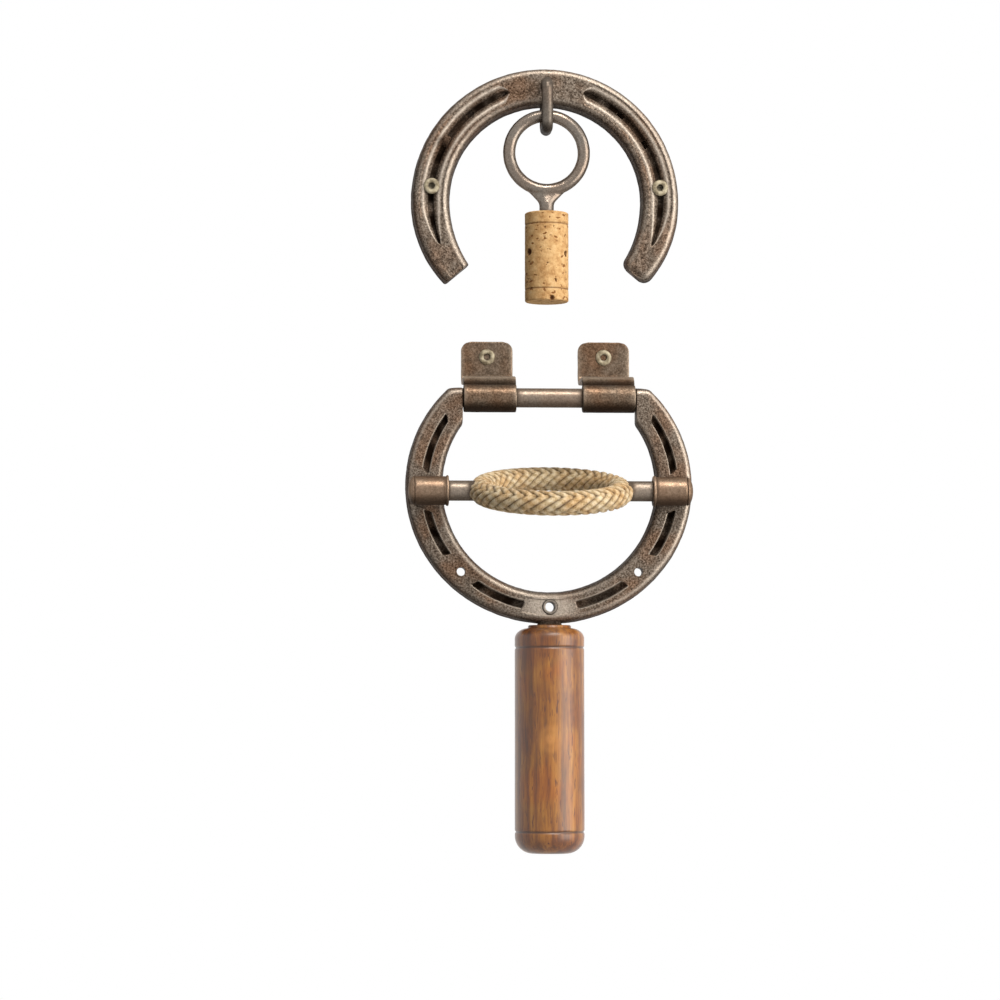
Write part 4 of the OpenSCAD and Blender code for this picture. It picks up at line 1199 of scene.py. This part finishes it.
wood = varnished_wood()
handle_low, handle_high = node_box("handle")
HANDLE_R = (handle_high[0] - handle_low[0]) / 2
HANDLE_L = handle_high[2] - handle_low[2]
HANDLE_TOP = handle_high[2]
COLLAR_R, COLLAR_L, SHOULDER_L, END_R = 8.9, 1.2, 4.4, 7.2
SHOULDER_W = HANDLE_R - COLLAR_R
HANDLE_LINES, HANDLE_LINE_W, HANDLE_LINE_D = (-9.2, -HANDLE_L + 8.8), 0.42, 0.45
KNOT_X, KNOT_Z, KNOT_R, KNOT_LONG = -0.8, -46.5, 4.6, 1.2
HANDLE_SIDES = 128
profile = [(0.05, 0), (COLLAR_R * 0.5, 0), (COLLAR_R - 0.4, 0), (COLLAR_R, -0.3),
           (COLLAR_R, -COLLAR_L + 0.2)]
profile += [(COLLAR_R + SHOULDER_W * math.sin(t), -COLLAR_L - SHOULDER_L * (1 - math.cos(t)))
            for t in np.linspace(0.05, math.pi / 2, 14)]
profile += [(HANDLE_R, z) for z in np.arange(-COLLAR_L - 4.7, -HANDLE_L + END_R + 0.2, -0.3)]
profile += arc(HANDLE_R - END_R, -HANDLE_L + END_R, END_R, 0, -90, 14)
profile += [(r, -HANDLE_L) for r in (HANDLE_R - END_R - 2, 3, 0.05)]

handle_rings, handle_dirt, handle_knot = [], [], []
for r, z in profile:
    line = max(band(z, at, HANDLE_LINE_W) for at in HANDLE_LINES)
    line = line if r > HANDLE_R - 2.2 else 0.0
    ring = []
    for a in circle(HANDLE_SIDES):
        uneven = noise.noise(Vector((math.cos(a) * 0.9, math.sin(a) * 0.9, z / 30)))
        wobble = 0.05 * (1 + uneven) if r > 2 else 0
        left = max(0.02, r - HANDLE_LINE_D * line - wobble)
        x, y = left * math.cos(a), left * math.sin(a)
        ring.append((x, HINGE_Y + y, HANDLE_TOP + z))
        away = math.hypot(x - KNOT_X, (z - KNOT_Z) / KNOT_LONG) / KNOT_R
        knot = math.exp(-away * away) if y < 0 else 0.0
        handle_knot.append(0.55 * knot * (0.8 + 0.2 * math.sin(away * 9)))
        handle_dirt.append(0.88 * line)
    handle_rings.append(ring)
make_piece("handle_turned", *skin(handle_rings), wood, "swing_shoe", "turned_wood",
           {"dirt": handle_dirt, "wear": handle_knot}, ("handle",))

# ---- Camera ----
# About 1.4 m away, a little left of the set and low, near the height of the handle. A long lens
# keeps the two shoes almost free of perspective.
PIXEL_MM, PICTURE_PIXELS = 0.414, 1000
CAMERA_MM, SENSOR_MM = 1400.0, 36
AIM_AT = Vector((-19.73, -15.0, -60.88)) * MM
azimuth, elevation = math.radians(-3.2), math.radians(-3.9)
back = Vector((math.sin(azimuth) * math.cos(elevation), -math.cos(azimuth) * math.cos(elevation),
               math.sin(elevation)))
camera = bpy.data.objects.new("camera", bpy.data.cameras.new("camera"))
bpy.context.scene.collection.objects.link(camera)
camera.location = AIM_AT + back * CAMERA_MM * MM
camera.rotation_euler = (-back).to_track_quat("-Z", "Y").to_euler()
camera.data.sensor_width = SENSOR_MM
camera.data.lens = SENSOR_MM * CAMERA_MM / (PICTURE_PIXELS * PIXEL_MM)
camera.data.clip_start, camera.data.clip_end = 0.05, 20
bpy.context.scene.camera = camera

# ---- Studio ----
# Plain light: a large warm key lamp from the right, a smaller one from above, a faint fill from
# the left, and white all round. The pale floor keeps the shadow and fades out to white.
LIT_POINT = Vector((0, 0, -0.05))
SURROUND_LIGHT, SURROUND_SEEN = 0.11, 1.0
FLOOR_Z, FLOOR_HALF = -0.75, 1.6
FADE_FROM, FADE_TO, WHITE_NEAR, WHITE_FAR = 0.9, 1.55, 0.6, 1.0


def lamp(name, place, size, watts, colour):
    data = bpy.data.lights.new(name, "AREA")
    data.shape = "RECTANGLE"
    data.size, data.size_y = size
    data.energy = watts
    data.color = linear(colour)[:3]
    made = bpy.data.objects.new(name, data)
    bpy.context.scene.collection.objects.link(made)
    made.location = place
    made.rotation_euler = (LIT_POINT - Vector(place)).to_track_quat("-Z", "Y").to_euler()


lamp("key", (1.3, -0.95, 0.1), (1.3, 1.6), 25, "#fff8f0")
lamp("top", (0.25, -0.8, 1.1), (0.7, 0.5), 15, "#fff8f0")
lamp("fill", (-1.3, -1.3, 0.2), (0.6, 0.6), 0.5, "#ffffff")


def seen_by(tree, *rays):
    """1 on rays that show a surface itself, 0 on those that only carry its light."""
    path = add(tree, "LightPath", {}, {})
    share = path.outputs[f"Is {rays[0]} Ray"]
    for ray in rays[1:]:
        share = add(tree, "Math", {"operation": "MAXIMUM"},
                    {0: share, 1: path.outputs[f"Is {ray} Ray"]}).outputs[0]
    return share


world = bpy.data.worlds.new("studio")
bpy.context.scene.world = world
world.use_nodes = True
tree = world.node_tree
tree.nodes.clear()
seen = seen_by(tree, "Camera", "Glossy", "Transmission")
level = add(tree, "MapRange", {}, {0: seen, 1: 0, 2: 1, 3: SURROUND_LIGHT, 4: SURROUND_SEEN})
background = add(tree, "Background", {}, {"Color": linear("#ffffff"), "Strength": level.outputs[0]})
add(tree, "OutputWorld", {}, {"Surface": background.outputs[0]})

floor_mesh = bpy.data.meshes.new("floor")
floor_mesh.from_pydata([(FLOOR_HALF * x, FLOOR_HALF * y, FLOOR_Z)
                        for x, y in ((-1, -1), (1, -1), (1, 1), (-1, 1))], [], [(0, 1, 2, 3)])
floor = bpy.data.objects.new("floor", floor_mesh)
bpy.context.scene.collection.objects.link(floor)
floor_paint, tree = new_material("floor_paint")
matt = add(tree, "BsdfDiffuse", {}, {"Color": linear("#e4e4e4")})
white = add(tree, "Emission", {}, {"Color": linear("#ffffff"), "Strength": 1.0})
place = add(tree, "TexCoord", {}, {}).outputs["Object"]
away = add(tree, "VectorMath", {"operation": "LENGTH"}, {0: place})
fade = add(tree, "MapRange", {"interpolation_type": "SMOOTHSTEP"},
           {0: away.outputs["Value"], 1: FADE_FROM, 2: FADE_TO, 3: WHITE_NEAR, 4: WHITE_FAR})
share = add(tree, "Math", {"operation": "MULTIPLY"},
            {0: seen_by(tree, "Camera", "Glossy"), 1: fade.outputs[0]})
both = add(tree, "MixShader", {}, {0: share.outputs[0], 1: matt.outputs[0], 2: white.outputs[0]})
add(tree, "OutputMaterial", {}, {"Surface": both.outputs[0]})
floor_mesh.materials.append(floor_paint)

bpy.context.scene.view_settings.view_transform = "Standard"
